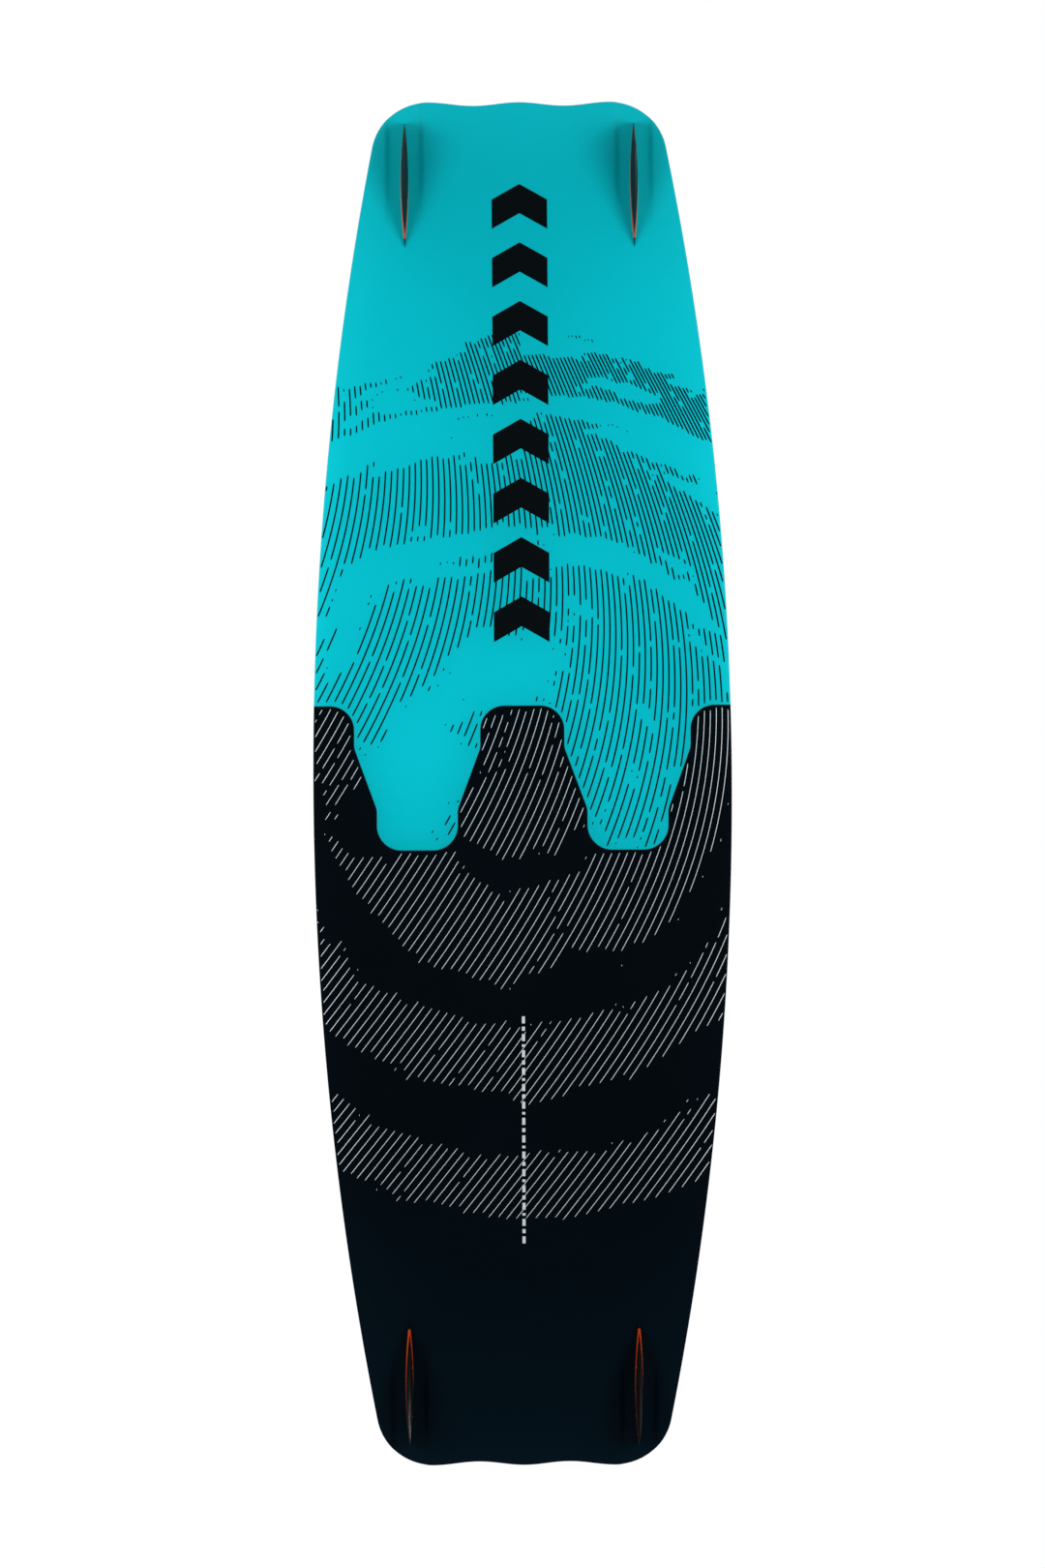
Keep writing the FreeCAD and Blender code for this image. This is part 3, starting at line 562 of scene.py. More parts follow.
def ribbon(points, width, verts, faces):
    """Closed flat bar along the points of the plan (x, y), standing just proud of the hull."""
    if len(points) == 1:
        x, y = points[0]
        points = [(x, y - 0.7), (x, y + 0.7)]
    start = len(verts)
    count = len(points)
    for i, (x, y) in enumerate(points):
        before = points[max(i - 1, 0)]
        after = points[min(i + 1, count - 1)]
        d = Vector((after[0] - before[0], after[1] - before[1])).normalized()
        taper = 0.7 if i in (0, count - 1) else 1.0
        n = Vector((-d.y, d.x)) * (width * taper / 2)
        for sign, lift in ((1, -PRINT_PROUD), (-1, -PRINT_PROUD), (-1, PRINT_PROUD), (1, PRINT_PROUD)):
            px, py = x + n.x * sign, y + n.y * sign
            verts.append((px, py, hull_z(px, py) + lift))
    for i in range(count - 1):
        a = start + 4 * i
        for k in range(4):
            m = (k + 1) % 4
            faces.append([a + k, a + m, a + 4 + m, a + 4 + k])
    first = [start, start + 1, start + 2, start + 3]
    faces.append(first[::-1])
    faces.append([v + 4 * (count - 1) for v in first])


def hatch_piece(side, half, width, material):
    """All printed dashes of one half as one piece."""
    ring = np.array([tuple(p) for p in half_ring(side, PRINT_RAIL_GAP, PRINT_SEAM_GAP)])
    runs = dashes(all_lines, side)
    flat = [(-p, -q) for run in runs for p, q in run]
    keep = inside(np.array(flat), ring)
    verts, faces = [], []
    at = 0
    for run in runs:
        piece = []
        for p, q in run:
            if keep[at]:
                piece.append((-p, -q))
            elif piece:
                ribbon(piece, width, verts, faces)
                piece = []
            at += 1
        if piece:
            ribbon(piece, width, verts, faces)
    hatch = make_piece(half + "_hull_hatch", verts, faces, material, smooth=False)
    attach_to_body(hatch, half + "_half")


CHEVRON_COUNT = 8
CHEVRON_Y = (606.0, 188.0)
CHEVRON_HALF = 28.0
CHEVRON_RISE = 16.0
CHEVRON_WEIGHT = 30.0


def chevron_column(material):
    """Plain chevrons in a column on the nose half, where the real board has lettering."""
    verts, faces = [], []
    top, bottom = CHEVRON_Y
    for i in range(CHEVRON_COUNT):
        y = top - (top - bottom) * i / (CHEVRON_COUNT - 1)
        start = len(verts)
        for depth in (-PRINT_PROUD * 2, PRINT_PROUD):
            for k in range(7):
                x = -CHEVRON_HALF + CHEVRON_HALF * k / 3
                drop = CHEVRON_RISE * abs(x) / CHEVRON_HALF
                for edge in (0, CHEVRON_WEIGHT):
                    verts.append((x, y - drop - edge, hull_z(x, y - drop - edge) + depth))
        for k in range(6):
            a = start + 2 * k
            faces.append([a, a + 1, a + 3, a + 2][::-1])
            b = a + 14
            faces.append([b, b + 1, b + 3, b + 2])
            faces.append([a, a + 2, b + 2, b][::-1])
            faces.append([a + 1, b + 1, b + 3, a + 3][::-1])
        a, b = start, start + 14
        faces.append([a, b, b + 1, a + 1][::-1])
        faces.append([a + 12, a + 13, b + 13, b + 12][::-1])
    chevrons = make_piece("nose_chevrons", verts, faces, material, smooth=False)
    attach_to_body(chevrons, "nose_half")


TICK_Y = (-234.0, -458.0)
TICK_LENGTHS = (7.0, 4.0, 7.0, 2.5)
TICK_WIDTH = 4.4
TICK_GAP = 3.4


def tick_row(material):
    """A row of small dashes down the middle of the tail half."""
    verts, faces = [], []
    y, end = TICK_Y
    k = 0
    while y > end:
        length = TICK_LENGTHS[k % len(TICK_LENGTHS)]
        ribbon([(0, y), (0, y - length)], TICK_WIDTH, verts, faces)
        y -= length + TICK_GAP
        k += 1
    ticks = make_piece("tail_ticks", verts, faces, material, smooth=False)
    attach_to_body(ticks, "tail_half")


# ================================================================ fins
def fin_profile(share):
    """Start, end and thickness of the fin at a share of its depth."""
    for low, high in zip(FIN_STATIONS, FIN_STATIONS[1:]):
        if share <= high[0]:
            mix = (share - low[0]) / (high[0] - low[0])
            return [a + (b - a) * mix for a, b in zip(low[1:], high[1:])]
    return list(FIN_STATIONS[-1][1:])


def fin_frame(x, side):
    """Matrix at the hull under a fin, its z along the hull's normal, in millimetres."""
    step = 1.0
    y = side * FIN_Y
    slope_y = (hull_z(x, y + step) - hull_z(x, y - step)) / (2 * step)
    slope_x = (hull_z(x + step, y) - hull_z(x - step, y)) / (2 * step)
    normal = Vector((-slope_x, -slope_y, 1)).normalized()
    turn = Vector((0, 0, 1)).rotation_difference(normal).to_matrix().to_4x4()
    place = Matrix.Translation((x, y, hull_z(x, y)))
    return place @ turn


def fin_shell(name, x, side, low_depth, high_depth, material, body, replaced):
    """Lens-section fin between two depths, closed at both."""
    rows = 26
    around = 26
    place = fin_frame(x, side)
    depths = [low_depth + (high_depth - low_depth) * (i / rows) for i in range(rows + 1)]
    verts = []
    for i, depth in enumerate(depths):
        start, end, thick = fin_profile(max(0.0, depth) / FIN_DEPTH)
        middle = (start + end) / 2 - FIN_LENGTH / 2
        half = (end - start) / 2
        for k in range(2 * around):
            a = math.pi * k / around
            along = math.cos(a)
            width = FIN_THICK * thick / 2
            across = math.copysign((width - FIN_BLUNT) * (1 - along * along), math.sin(a))
            across += FIN_BLUNT * math.sin(a)
            local = Vector((across, side * (middle + half * along), -depth))
            verts.append(tuple(place @ local))
    count = 2 * around
    faces = []
    flip = side > 0
    for i in range(rows):
        faces += stitch_rings(i * count, (i + 1) * count, count, not flip)
    top = list(range(count))
    bottom = [rows * count + k for k in range(count)]
    faces.append(top if flip else top[::-1])
    faces.append(bottom[::-1] if flip else bottom)
    obj = make_piece(name, verts, faces, material)
    sharpen(obj, 50)
    attach(obj, body, replaced)


# ================================================================ materials
def srgb(r, g, b):
    """Display colour 0-255 to a linear colour with alpha."""
    def one(c):
        c /= 255.0
        return c / 12.92 if c <= 0.04045 else ((c + 0.055) / 1.055) ** 2.4
    return (one(r), one(g), one(b), 1.0)


class Paint:
    """A material under construction: one Principled shader and helpers for the nodes before it."""

    def __init__(self, name, roughness, metallic=0.0, specular=0.5, coat=0.0, sheen=0.0):
        self.material = bpy.data.materials.new(name)
        self.material.use_nodes = True
        self.tree = self.material.node_tree
        self.shader = self.tree.nodes["Principled BSDF"]
        self.shader.inputs["Roughness"].default_value = roughness
        self.shader.inputs["Metallic"].default_value = metallic
        self.shader.inputs["Specular IOR Level"].default_value = specular
        self.shader.inputs["Coat Weight"].default_value = coat
        self.shader.inputs["Coat Roughness"].default_value = 0.12
        self.shader.inputs["Sheen Weight"].default_value = sheen
        self.coords = self.add("ShaderNodeTexCoord").outputs["Object"]
        self.height = None

    def add(self, kind, **settings):
        node = self.tree.nodes.new(kind)
        for key, value in settings.items():
            setattr(node, key, value)
        return node

    def link(self, source, target):
        self.tree.links.new(source, target)

    def scaled(self, scale):
        """Object coordinates times a scale, one number or three."""
        node = self.add("ShaderNodeMapping")
        node.inputs["Scale"].default_value = scale if hasattr(scale, "__len__") else (scale,) * 3
        self.link(self.coords, node.inputs["Vector"])
        return node.outputs["Vector"]

    def noise(self, scale, detail=3.0, rough=0.55):
        node = self.add("ShaderNodeTexNoise")
        self.link(self.scaled(scale), node.inputs["Vector"])
        node.inputs["Scale"].default_value = 1.0
        node.inputs["Detail"].default_value = detail
        node.inputs["Roughness"].default_value = rough
        return node.outputs["Fac"]

    def cells(self, scale):
        node = self.add("ShaderNodeTexVoronoi")
        self.link(self.scaled(scale), node.inputs["Vector"])
        node.inputs["Scale"].default_value = 1.0
        return node.outputs["Distance"]

    def wave(self, scale, direction, profile="SIN"):
        node = self.add("ShaderNodeTexWave", bands_direction=direction, wave_profile=profile)
        self.link(self.scaled(scale), node.inputs["Vector"])
        node.inputs["Scale"].default_value = 1.0
        return node.outputs["Fac"]

    def axis(self, name):
        node = self.add("ShaderNodeSeparateXYZ")
        self.link(self.coords, node.inputs["Vector"])
        return node.outputs[name]

    def math(self, operation, a, b=0.0):
        node = self.add("ShaderNodeMath", operation=operation)
        for socket, value in zip(node.inputs, (a, b)):
            if isinstance(value, (int, float)):
                socket.default_value = value
            else:
                self.link(value, socket)
        return node.outputs["Value"]

    def ramp(self, value, stops):
        """Colour or grey ramp; stops are (position, colour)."""
        node = self.add("ShaderNodeValToRGB")
        self.link(value, node.inputs["Fac"])
        elements = node.color_ramp.elements
        while len(elements) < len(stops):
            elements.new(0.5)
        for element, (position, colour) in zip(elements, stops):
            element.position = position
            element.color = colour if hasattr(colour, "__len__") else (colour, colour, colour, 1.0)
        return node.outputs["Color"]

    def mix(self, factor, a, b, blend="MIX"):
        node = self.add("ShaderNodeMix", data_type="RGBA", blend_type=blend)
        for socket, value in ((node.inputs[0], factor), (node.inputs[6], a), (node.inputs[7], b)):
            if isinstance(value, (int, float, tuple)):
                socket.default_value = value
            else:
                self.link(value, socket)
        return node.outputs[2]

    def colour(self, source):
        if isinstance(source, tuple):
            self.shader.inputs["Base Color"].default_value = source
        else:
            self.link(source, self.shader.inputs["Base Color"])

    def roughness(self, value, low, high):
        """Roughness that varies with a texture value between two limits."""
        node = self.add("ShaderNodeMapRange")
        node.inputs["To Min"].default_value = low
        node.inputs["To Max"].default_value = high
        self.link(value, node.inputs["Value"])
        self.link(node.outputs["Result"], self.shader.inputs["Roughness"])

    def bump(self, value, distance_m):
        node = self.add("ShaderNodeBump")
        node.inputs["Strength"].default_value = 1.0
        node.inputs["Distance"].default_value = distance_m
        self.link(value, node.inputs["Height"])
        if self.height is not None:
            self.link(self.height, node.inputs["Normal"])
        self.height = node.outputs["Normal"]
        self.link(self.height, self.shader.inputs["Normal"])


def board_lacquer(name, bright, dark, grain, tip_painted_shading, gloss):
    """Satin printed film under lacquer: slow colour drift, painted shading towards both tips, fine grain and
    a few hairline scuffs.
    """
    paint = Paint(name, 0.42, specular=0.3 * gloss, coat=0.2 * gloss)
    drift = paint.noise(5.0, 2.0)
    along = paint.math("ABSOLUTE", paint.axis("Y"))
    # Painted light: towards both tips the colour moves towards the second colour, by tip_painted_shading; on
    # the teal films this is painted shade.
    tips = paint.ramp(along, [(0.0, 0.0), (0.36, 0.08), (0.66, 1.0)])
    tone = paint.math("ADD", paint.math("MULTIPLY", drift, 0.25), paint.math("MULTIPLY", tips, tip_painted_shading))
    base = paint.mix(tone, bright, dark)
    fine = paint.noise(1400.0, 2.0)
    grained = paint.mix(paint.math("MULTIPLY", fine, grain), base, dark)
    scuffs = paint.ramp(paint.noise((40.0, 900.0, 40.0), 4.0), [(0.66, 0.0), (0.74, 1.0)])
    paint.colour(grained)
    paint.roughness(paint.mix(0.5, fine, scuffs), 0.34, 0.60)
    paint.bump(paint.noise(260.0, 2.0), 0.00004)
    paint.bump(fine, 0.00002)
    return paint.material


def print_ink(name, colour, worn, gloss):
    """Screen-printed ink with slightly uneven cover."""
    paint = Paint(name, 0.5, specular=gloss)
    cover = paint.ramp(paint.noise(700.0, 3.0), [(0.35, 0.0), (0.75, 1.0)])
    paint.colour(paint.mix(paint.math("MULTIPLY", cover, 0.25), colour, worn))
    paint.bump(paint.noise(1500.0, 2.0), 0.00002)
    return paint.material


def rail_plastic():
    """Sanded black edge strip with fine scratches along it."""
    paint = Paint("rail_abs", 0.5, specular=0.4)
    scratches = paint.noise((60.0, 60.0, 2500.0), 4.0)
    worn = paint.ramp(scratches, [(0.45, 0.0), (0.7, 1.0)])
    paint.colour(paint.mix(worn, srgb(14, 17, 20), srgb(34, 38, 42)))
    paint.roughness(scratches, 0.35, 0.62)
    paint.bump(scratches, 0.00005)
    return paint.material


def fin_black():
    """Ground black laminate: fine glass weave and grinding lines along the fin."""
    paint = Paint("fin_laminate", 0.5, specular=0.22)
    weave = paint.math("MULTIPLY", paint.wave(900.0, "Y"), paint.wave(900.0, "Z"))
    grind = paint.noise((400.0, 30.0, 2200.0), 4.0)
    paint.colour(paint.mix(paint.math("MULTIPLY", weave, 0.5), srgb(4, 5, 7), srgb(20, 22, 25)))
    paint.roughness(grind, 0.42, 0.65)
    paint.bump(weave, 0.00003)
    paint.bump(grind, 0.00003)
    return paint.material


def fin_orange():
    """Orange base laminate; its thin inner end is black like the blade."""
    paint = Paint("fin_base_laminate", 0.4, specular=0.45)
    inner = (FIN_Y - FIN_LENGTH / 2 + 9.0) * MM
    ends = paint.math("LESS_THAN", paint.math("ABSOLUTE", paint.axis("Y")), inner)
    mottle = paint.noise(350.0, 4.0)
    orange = paint.mix(mottle, srgb(255, 92, 8), srgb(214, 66, 10))
    paint.colour(paint.mix(ends, orange, srgb(8, 9, 11)))
    paint.roughness(mottle, 0.32, 0.5)
    paint.bump(paint.noise((500.0, 60.0, 2600.0), 3.0), 0.00003)
    return paint.material


def foam(name, dark, light, pebble):
    """Closed-cell foam skin with pebbled grain."""
    paint = Paint(name, 0.85, specular=0.25)
    cells = paint.cells(pebble)
    speckle = paint.noise(900.0, 3.0)
    paint.colour(paint.mix(paint.ramp(speckle, [(0.4, 0.0), (0.7, 1.0)]), dark, light))
    paint.roughness(speckle, 0.75, 0.95)
    paint.bump(cells, 0.0003)
    paint.bump(speckle, 0.0001)
    return paint.material


def woven(name, dark, light, thread):
    """Plain-woven tape: ribs one way crossed by finer threads the other way."""
    paint = Paint(name, 0.8, specular=0.2, sheen=0.25)
    ribs = paint.wave(thread, "X")
    cross = paint.wave(thread * 1.7, "Y")
    weave = paint.math("MULTIPLY", ribs, cross)
    fuzz = paint.noise(2500.0, 2.0)
    paint.colour(paint.mix(paint.math("MULTIPLY", weave, 0.9), dark, light))
    paint.roughness(fuzz, 0.7, 0.95)
    paint.bump(weave, 0.0004)
    paint.bump(fuzz, 0.00008)
    return paint.material


def knit(name, dark, light):
    """Neoprene facing: fine knit with soft creases."""
    paint = Paint(name, 0.85, specular=0.2, sheen=0.4)
    loops = paint.cells(1500.0)
    creases = paint.noise((90.0, 40.0, 90.0), 3.0)
    paint.colour(paint.mix(paint.math("MULTIPLY", loops, 0.8), light, dark))
    paint.roughness(creases, 0.75, 0.95)
    paint.bump(loops, 0.0003)
    paint.bump(creases, 0.0006)
    return paint.material


def moulded(name, dark, light):
    """Moulded plastic with spark-eroded texture."""
    paint = Paint(name, 0.55, specular=0.4)
    texture = paint.noise(1600.0, 2.0)
    paint.colour(paint.mix(paint.noise(30.0, 2.0), dark, light))
    paint.roughness(texture, 0.45, 0.65)
    paint.bump(texture, 0.00012)
    return paint.material


def metal(name, dark, light, rough, scale):
    """Turned or rolled metal with fine tool marks."""
    paint = Paint(name, rough, metallic=1.0)
    marks = paint.noise(scale, 3.0)
    paint.colour(paint.mix(marks, (*dark, 1.0), (*light, 1.0)))
    paint.roughness(marks, rough - 0.1, rough + 0.15)
    paint.bump(marks, 0.00002)
    return paint.material


def wood():
    """Planed strips of core wood."""
    paint = Paint("core_wood", 0.7, specular=0.3)
    strips = paint.wave((1.0 / 0.028, 1.0, 1.0), "X", "SAW")
    grain = paint.noise((260.0, 9.0, 260.0), 5.0)
    tone = paint.mix(grain, srgb(206, 170, 120), srgb(164, 122, 76))
    paint.colour(paint.mix(paint.math("MULTIPLY", strips, 0.25), tone, srgb(140, 100, 60)))
    paint.bump(grain, 0.0001)
    return paint.material


# The fifth number of each film is its painted shading towards the tips.
hull_teal = board_lacquer("hull_teal_film", srgb(0, 188, 198), srgb(0, 148, 158), 0.10, 0.45, 0.2)
hull_black = board_lacquer("hull_black_film", srgb(0, 1, 2), srgb(2, 19, 29), 0.3, 0.65, 0.08)
deck_teal = board_lacquer("deck_teal_film", srgb(0, 176, 190), srgb(0, 128, 142), 0.10, 0.45, 1.0)
deck_black = board_lacquer("deck_black_film", srgb(8, 11, 14), srgb(6, 26, 36), 0.35, 0.75, 0.8)
ink_black = print_ink("ink_black", srgb(1, 3, 5), srgb(4, 24, 30), 0.04)
ink_white = print_ink("ink_white", srgb(232, 238, 240), srgb(170, 180, 186), 0.25)
abs_black = rail_plastic()
blade_black = fin_black()
base_orange = fin_orange()
foam_black = foam("footbed_foam", srgb(28, 30, 33), srgb(48, 51, 55), 420.0)
grip_black = knit("grip_neoprene", srgb(16, 17, 19), srgb(40, 42, 46))
strap_knit = knit("strap_neoprene", srgb(16, 17, 19), srgb(42, 44, 48))
tape_black = woven("tape_webbing", srgb(9, 10, 11), srgb(40, 42, 45), 1400.0)
thread_teal = woven("thread_teal", srgb(0, 130, 140), srgb(0, 190, 200), 4000.0)
nylon = moulded("moulded_nylon", srgb(18, 19, 21), srgb(26, 28, 30))
nylon_plate = moulded("moulded_plate", srgb(24, 25, 27), srgb(34, 36, 38))
steel = metal("stainless", (0.26, 0.27, 0.29), (0.44, 0.45, 0.47), 0.36, 1800.0)
steel_dark = metal("stainless_washer", (0.22, 0.23, 0.25), (0.36, 0.37, 0.39), 0.42, 2200.0)
brass = metal("brass", (0.52, 0.36, 0.12), (0.78, 0.60, 0.28), 0.35, 1800.0)
aluminium = metal("anodised_bar", (0.18, 0.19, 0.21), (0.32, 0.33, 0.35), 0.48, (2500.0, 60.0, 2500.0))
collar_orange = metal("anodised_collar", (0.75, 0.16, 0.01), (0.95, 0.28, 0.03), 0.35, 1800.0)
core_wood = wood()

SLOT_MATERIALS = {
    "hull_teal": hull_teal, "hull_black": hull_black, "deck_teal": deck_teal, "deck_black": deck_black,
    "core_wood": core_wood, "rail_plastic": abs_black, "brass_insert": brass, "steel_screw": steel,
    "washer_steel": steel_dark, "fin_black": blade_black, "fin_orange": base_orange, "pad_plastic": nylon,
    "footbed_foam": foam_black, "strap_fabric": strap_knit, "webbing": tape_black,
    "plate_plastic": nylon_plate, "joiner_aluminium": aluminium, "socket_steel": steel_dark,
    "collar_aluminium": collar_orange, "grip_foam": grip_black,
}


def dress_cad_nodes():
    """Every carried-over CAD node gets the material of its slot."""
    for row in frame["record"]["subparts"]:
        obj = nodes[row["node"]]
        obj.data.materials.clear()
        obj.data.materials.append(SLOT_MATERIALS[row["material_slot"]])
        sharpen(obj, 30)


# ================================================================ foot pads
PAD_TOP = deck_z(0, PAD_Y) + 7.5
PAD_HALF = (140.0, 59.0)
PAD_CORNER = 47.0
WINDOW_HALF = 13.0
WINDOW_REACH = math.radians(15)
FOAM_HEIGHT = 13.0
GROOVE_PITCH = 9.0
GROOVE_HALF = 1.1
GROOVE_DEPTH = 1.6
GROOVE_REACH = (116.0, 44.0)
STRAP_INNER = 65.0
STRAP_THICK = 6.0
STRAP_HALF = 38.0
STRAP_LEG = 24.0
STRAP_RISE = 52.0
LEG_SHARE = 0.1
PADDING_INSET = 0.7
QUILT_LINES = (-32.0, -12.0, 12.0, 32.0)
HELD_STATIONS = 7
WEB_TOP = STRAP_THICK + 1.6
FLAP_HALF = 25.0
FLAP_THICK = 1.5


def arc_points(centre, radius, angles):
    """Points on a circle at the given angles."""
    return [Vector(centre) + Vector((math.cos(a), math.sin(a))) * radius for a in angles]


def rounded_rect(half_x, half_y, corner, inset):
    """Outline of a rounded rectangle about the origin, anticlockwise, drawn in by the inset."""
    signs = ((1, 1), (-1, 1), (-1, -1), (1, -1))
    centres = [(sx * (half_x - corner), sy * (half_y - corner)) for sx, sy in signs]
    ring = []
    for turn, centre in enumerate(centres):
        angles = [math.radians(90 * turn + 7.5 * k) for k in range(13)]
        ring += arc_points(centre, corner - inset, angles)
        beyond = arc_points(centres[(turn + 1) % 4], corner - inset, [angles[-1]])[0]
        ring += spread(ring[-1], beyond, 10 if turn % 2 == 0 else 3)
    return ring


def window_ring(hand, grow):
    """Outline of the curved window over a swivel slot, anticlockwise."""
    half = WINDOW_HALF + grow
    reach = WINDOW_REACH
    upper, lower = arc_points((0, 0), ROW_X, (reach, -reach))
    ring = arc_points((0, 0), ROW_X + half, [reach * (k / 4 - 1) for k in range(9)])
    ring += arc_points(upper, half, [reach + math.pi * k / 8 for k in range(1, 9)])
    ring += arc_points((0, 0), ROW_X - half, [reach * (1 - k / 4) for k in range(1, 9)])
    ring += arc_points(lower, half, [math.pi - reach + math.pi * k / 8 for k in range(1, 8)])
    return ring if hand > 0 else [Vector((-p.x, -p.y)) for p in ring]


def bowl(x, y, centre, size_x, size_y):
    """Smooth dish of depth 1 about a centre."""
    away = ((x - centre) / size_x) ** 2 + (y / size_y) ** 2
    return math.exp(-away * away)


def foam_height(x, y):
    """Top of the footbed: heel cup, ball dish, toe bar and raised rims, with grooves across."""
    height = FOAM_HEIGHT - 3.0 * bowl(x, y, -98, 42, 34) - 1.6 * bowl(x, y, 18, 46, 40)
    height += 2.4 * math.exp(-((x - 104) / 9) ** 2) * math.exp(-(y / 44) ** 6)
    height += 1.6 * fade((abs(y) - 40) / 14) * math.exp(-(x / 120) ** 4)
    across = (x + GROOVE_PITCH / 2) % GROOVE_PITCH - GROOVE_PITCH / 2
    if abs(across) < GROOVE_HALF and abs(y) < GROOVE_REACH[1] and abs(x) < GROOVE_REACH[0]:
        height -= GROOVE_DEPTH
    return height


def footbed_grid():
    """Grid points over the footbed, doubled up at both edges of each groove."""
    columns = []
    count = int(132 // GROOVE_PITCH)
    for k in range(-count, count + 1):
        middle = k * GROOVE_PITCH
        columns += [middle - 1.5, middle - 1.0, middle + 1.0, middle + 1.5, middle + GROOVE_PITCH / 2]
    rows = [-54.0, -49.0, -44.5, -43.5] + [7.0 * k for k in range(-6, 7)] + [43.5, 44.5, 49.0, 54.0]
    points = np.array([(x, y) for x in columns for y in rows])
    keep = inside(points, [tuple(p) for p in rounded_rect(*PAD_HALF, PAD_CORNER, 5.2)])
    for hand in (-1, 1):
        keep &= ~inside(points, [tuple(p) for p in window_ring(hand, 3.8)])
    return [tuple(p) for p in points[keep]]


def footbed(side, half):
    """Moulded foam bed with rounded edges and a window over each swivel slot."""
    levels = ((4.0, 2.6, 0.0), (2.0, 1.2, -0.5), (0.6, 0.4, -1.8), (0.0, 0.0, -4.0), (0.0, 0.0, None))
    centre = side * PAD_Y
    verts, faces = [], []
    starts = []
    for inset, grow, drop in levels:
        loops = [rounded_rect(*PAD_HALF, PAD_CORNER, inset), window_ring(-1, grow), window_ring(1, grow)]
        starts.append([])
        for loop in loops:
            starts[-1].append((len(verts), len(loop)))
            for p in loop:
                z = PAD_TOP if drop is None else PAD_TOP + foam_height(p.x, p.y) + drop
                verts.append((p.x, p.y, z))
        if inset == levels[0][0]:
            loops = [[tuple(p) for p in loop] for loop in loops]
            coords, top = fill(loops[0], footbed_grid(), loops[1:])
            verts += [(x, y, PAD_TOP + foam_height(x, y)) for x, y in coords[len(verts):]]
            faces += top
    for upper, lower in zip(starts, starts[1:]):
        for k, ((a, count), (b, _)) in enumerate(zip(upper, lower)):
            faces += stitch_rings(a, b, count, k == 0)
    last = starts[-1][0][0]
    loops = [[tuple(verts[a + i][:2]) for i in range(count)] for a, count in starts[-1]]
    faces += [[last + i for i in face][::-1] for face in fill(loops[0], [], loops[1:])[1]]
    verts = [(x, y + centre, z) for x, y, z in verts]
    bed = make_piece(half + "_footbed_foam", verts, faces, foam_black)
    sharpen(bed, 50)
    attach(bed, half + "_pad", half + "_footbed")


def arch_point(share, offset):
    """Point of the strap's line in y and z, at a share of its length and an offset from its inner face."""
    reach = STRAP_INNER + offset
    if share <= LEG_SHARE:
        return -reach, STRAP_LEG * share / LEG_SHARE
    if share >= 1 - LEG_SHARE:
        return reach, STRAP_LEG * (1 - share) / LEG_SHARE
    a = math.pi * (share - LEG_SHARE) / (1 - 2 * LEG_SHARE)
    return -reach * math.cos(a), STRAP_LEG + (STRAP_RISE + offset) * math.sin(a)


def arch_band(section, first, last, count, centre):
    """Closed band along the strap's line: a cross-section loop of (x, offset) carried from share to share."""
    verts, faces = [], []
    size = len(section)
    for i in range(count + 1):
        share = first + (last - first) * i / count
        for x, offset in section:
            y, z = arch_point(share, offset)
            verts.append((x, centre + y, PAD_TOP + z))
    for i in range(count):
        faces += stitch_rings(i * size, (i + 1) * size, size, False)
    faces.append(list(range(size))[::-1])
    faces.append([count * size + k for k in range(size)])
    return verts, faces


def padded_section(half, low, high, step):
    """Cross-section of a flat padded band with rounded edges, anticlockwise from its lower left."""
    middle = (low + high) / 2
    radius = (high - low) / 2
    flat = half - radius
    count = int(2 * flat // step)
    bottom = [(-flat + 2 * flat * k / count, low) for k in range(count + 1)]
    right = [(flat + radius * math.sin(a), middle - radius * math.cos(a))
             for a in (math.pi / 4, math.pi / 2, 3 * math.pi / 4)]
    top = [(-x, high) for x, _ in bottom]
    left = [(-x, 2 * middle - offset) for x, offset in right]
    return bottom + right + top + left


def inflate(obj, held, cap):
    """Cloth pressure puffs the piece out between the held points, by no more than the cap."""
    held_group = obj.vertex_groups.new(name="held")
    held_group.add(held, 1.0, "REPLACE")
    cloth = obj.modifiers.new("puff", "CLOTH")
    settings = cloth.settings
    settings.quality = 6
    settings.mass = 0.2
    settings.use_pressure = True
    settings.uniform_pressure_force = 5.0
    settings.tension_stiffness = 12
    settings.compression_stiffness = 12
    settings.shear_stiffness = 4
    settings.bending_stiffness = 0.2
    settings.vertex_group_mass = "held"
    settings.effector_weights.gravity = 0.0
    cloth.collision_settings.use_collision = False
    scene = bpy.context.scene
    for step in range(1, 21):
        scene.frame_set(step)
    shaped = obj.evaluated_get(bpy.context.evaluated_depsgraph_get()).data
    ends = [v.co.copy() for v in shaped.vertices]
    obj.modifiers.remove(cloth)
    scene.frame_set(1)
    for vertex, end in zip(obj.data.vertices, ends):
        shift = end - vertex.co
        limit = cap * MM
        if shift.length > limit:
            shift *= limit / shift.length
        vertex.co += shift
    obj.vertex_groups.clear()


def refine(obj):
    """One smooth subdivision, applied."""
    obj.modifiers.new("smooth", "SUBSURF").levels = 1
    mesh = bpy.data.meshes.new_from_object(obj.evaluated_get(bpy.context.evaluated_depsgraph_get()))
    obj.modifiers.clear()
    old = obj.data
    obj.data = mesh
    bpy.data.meshes.remove(old)


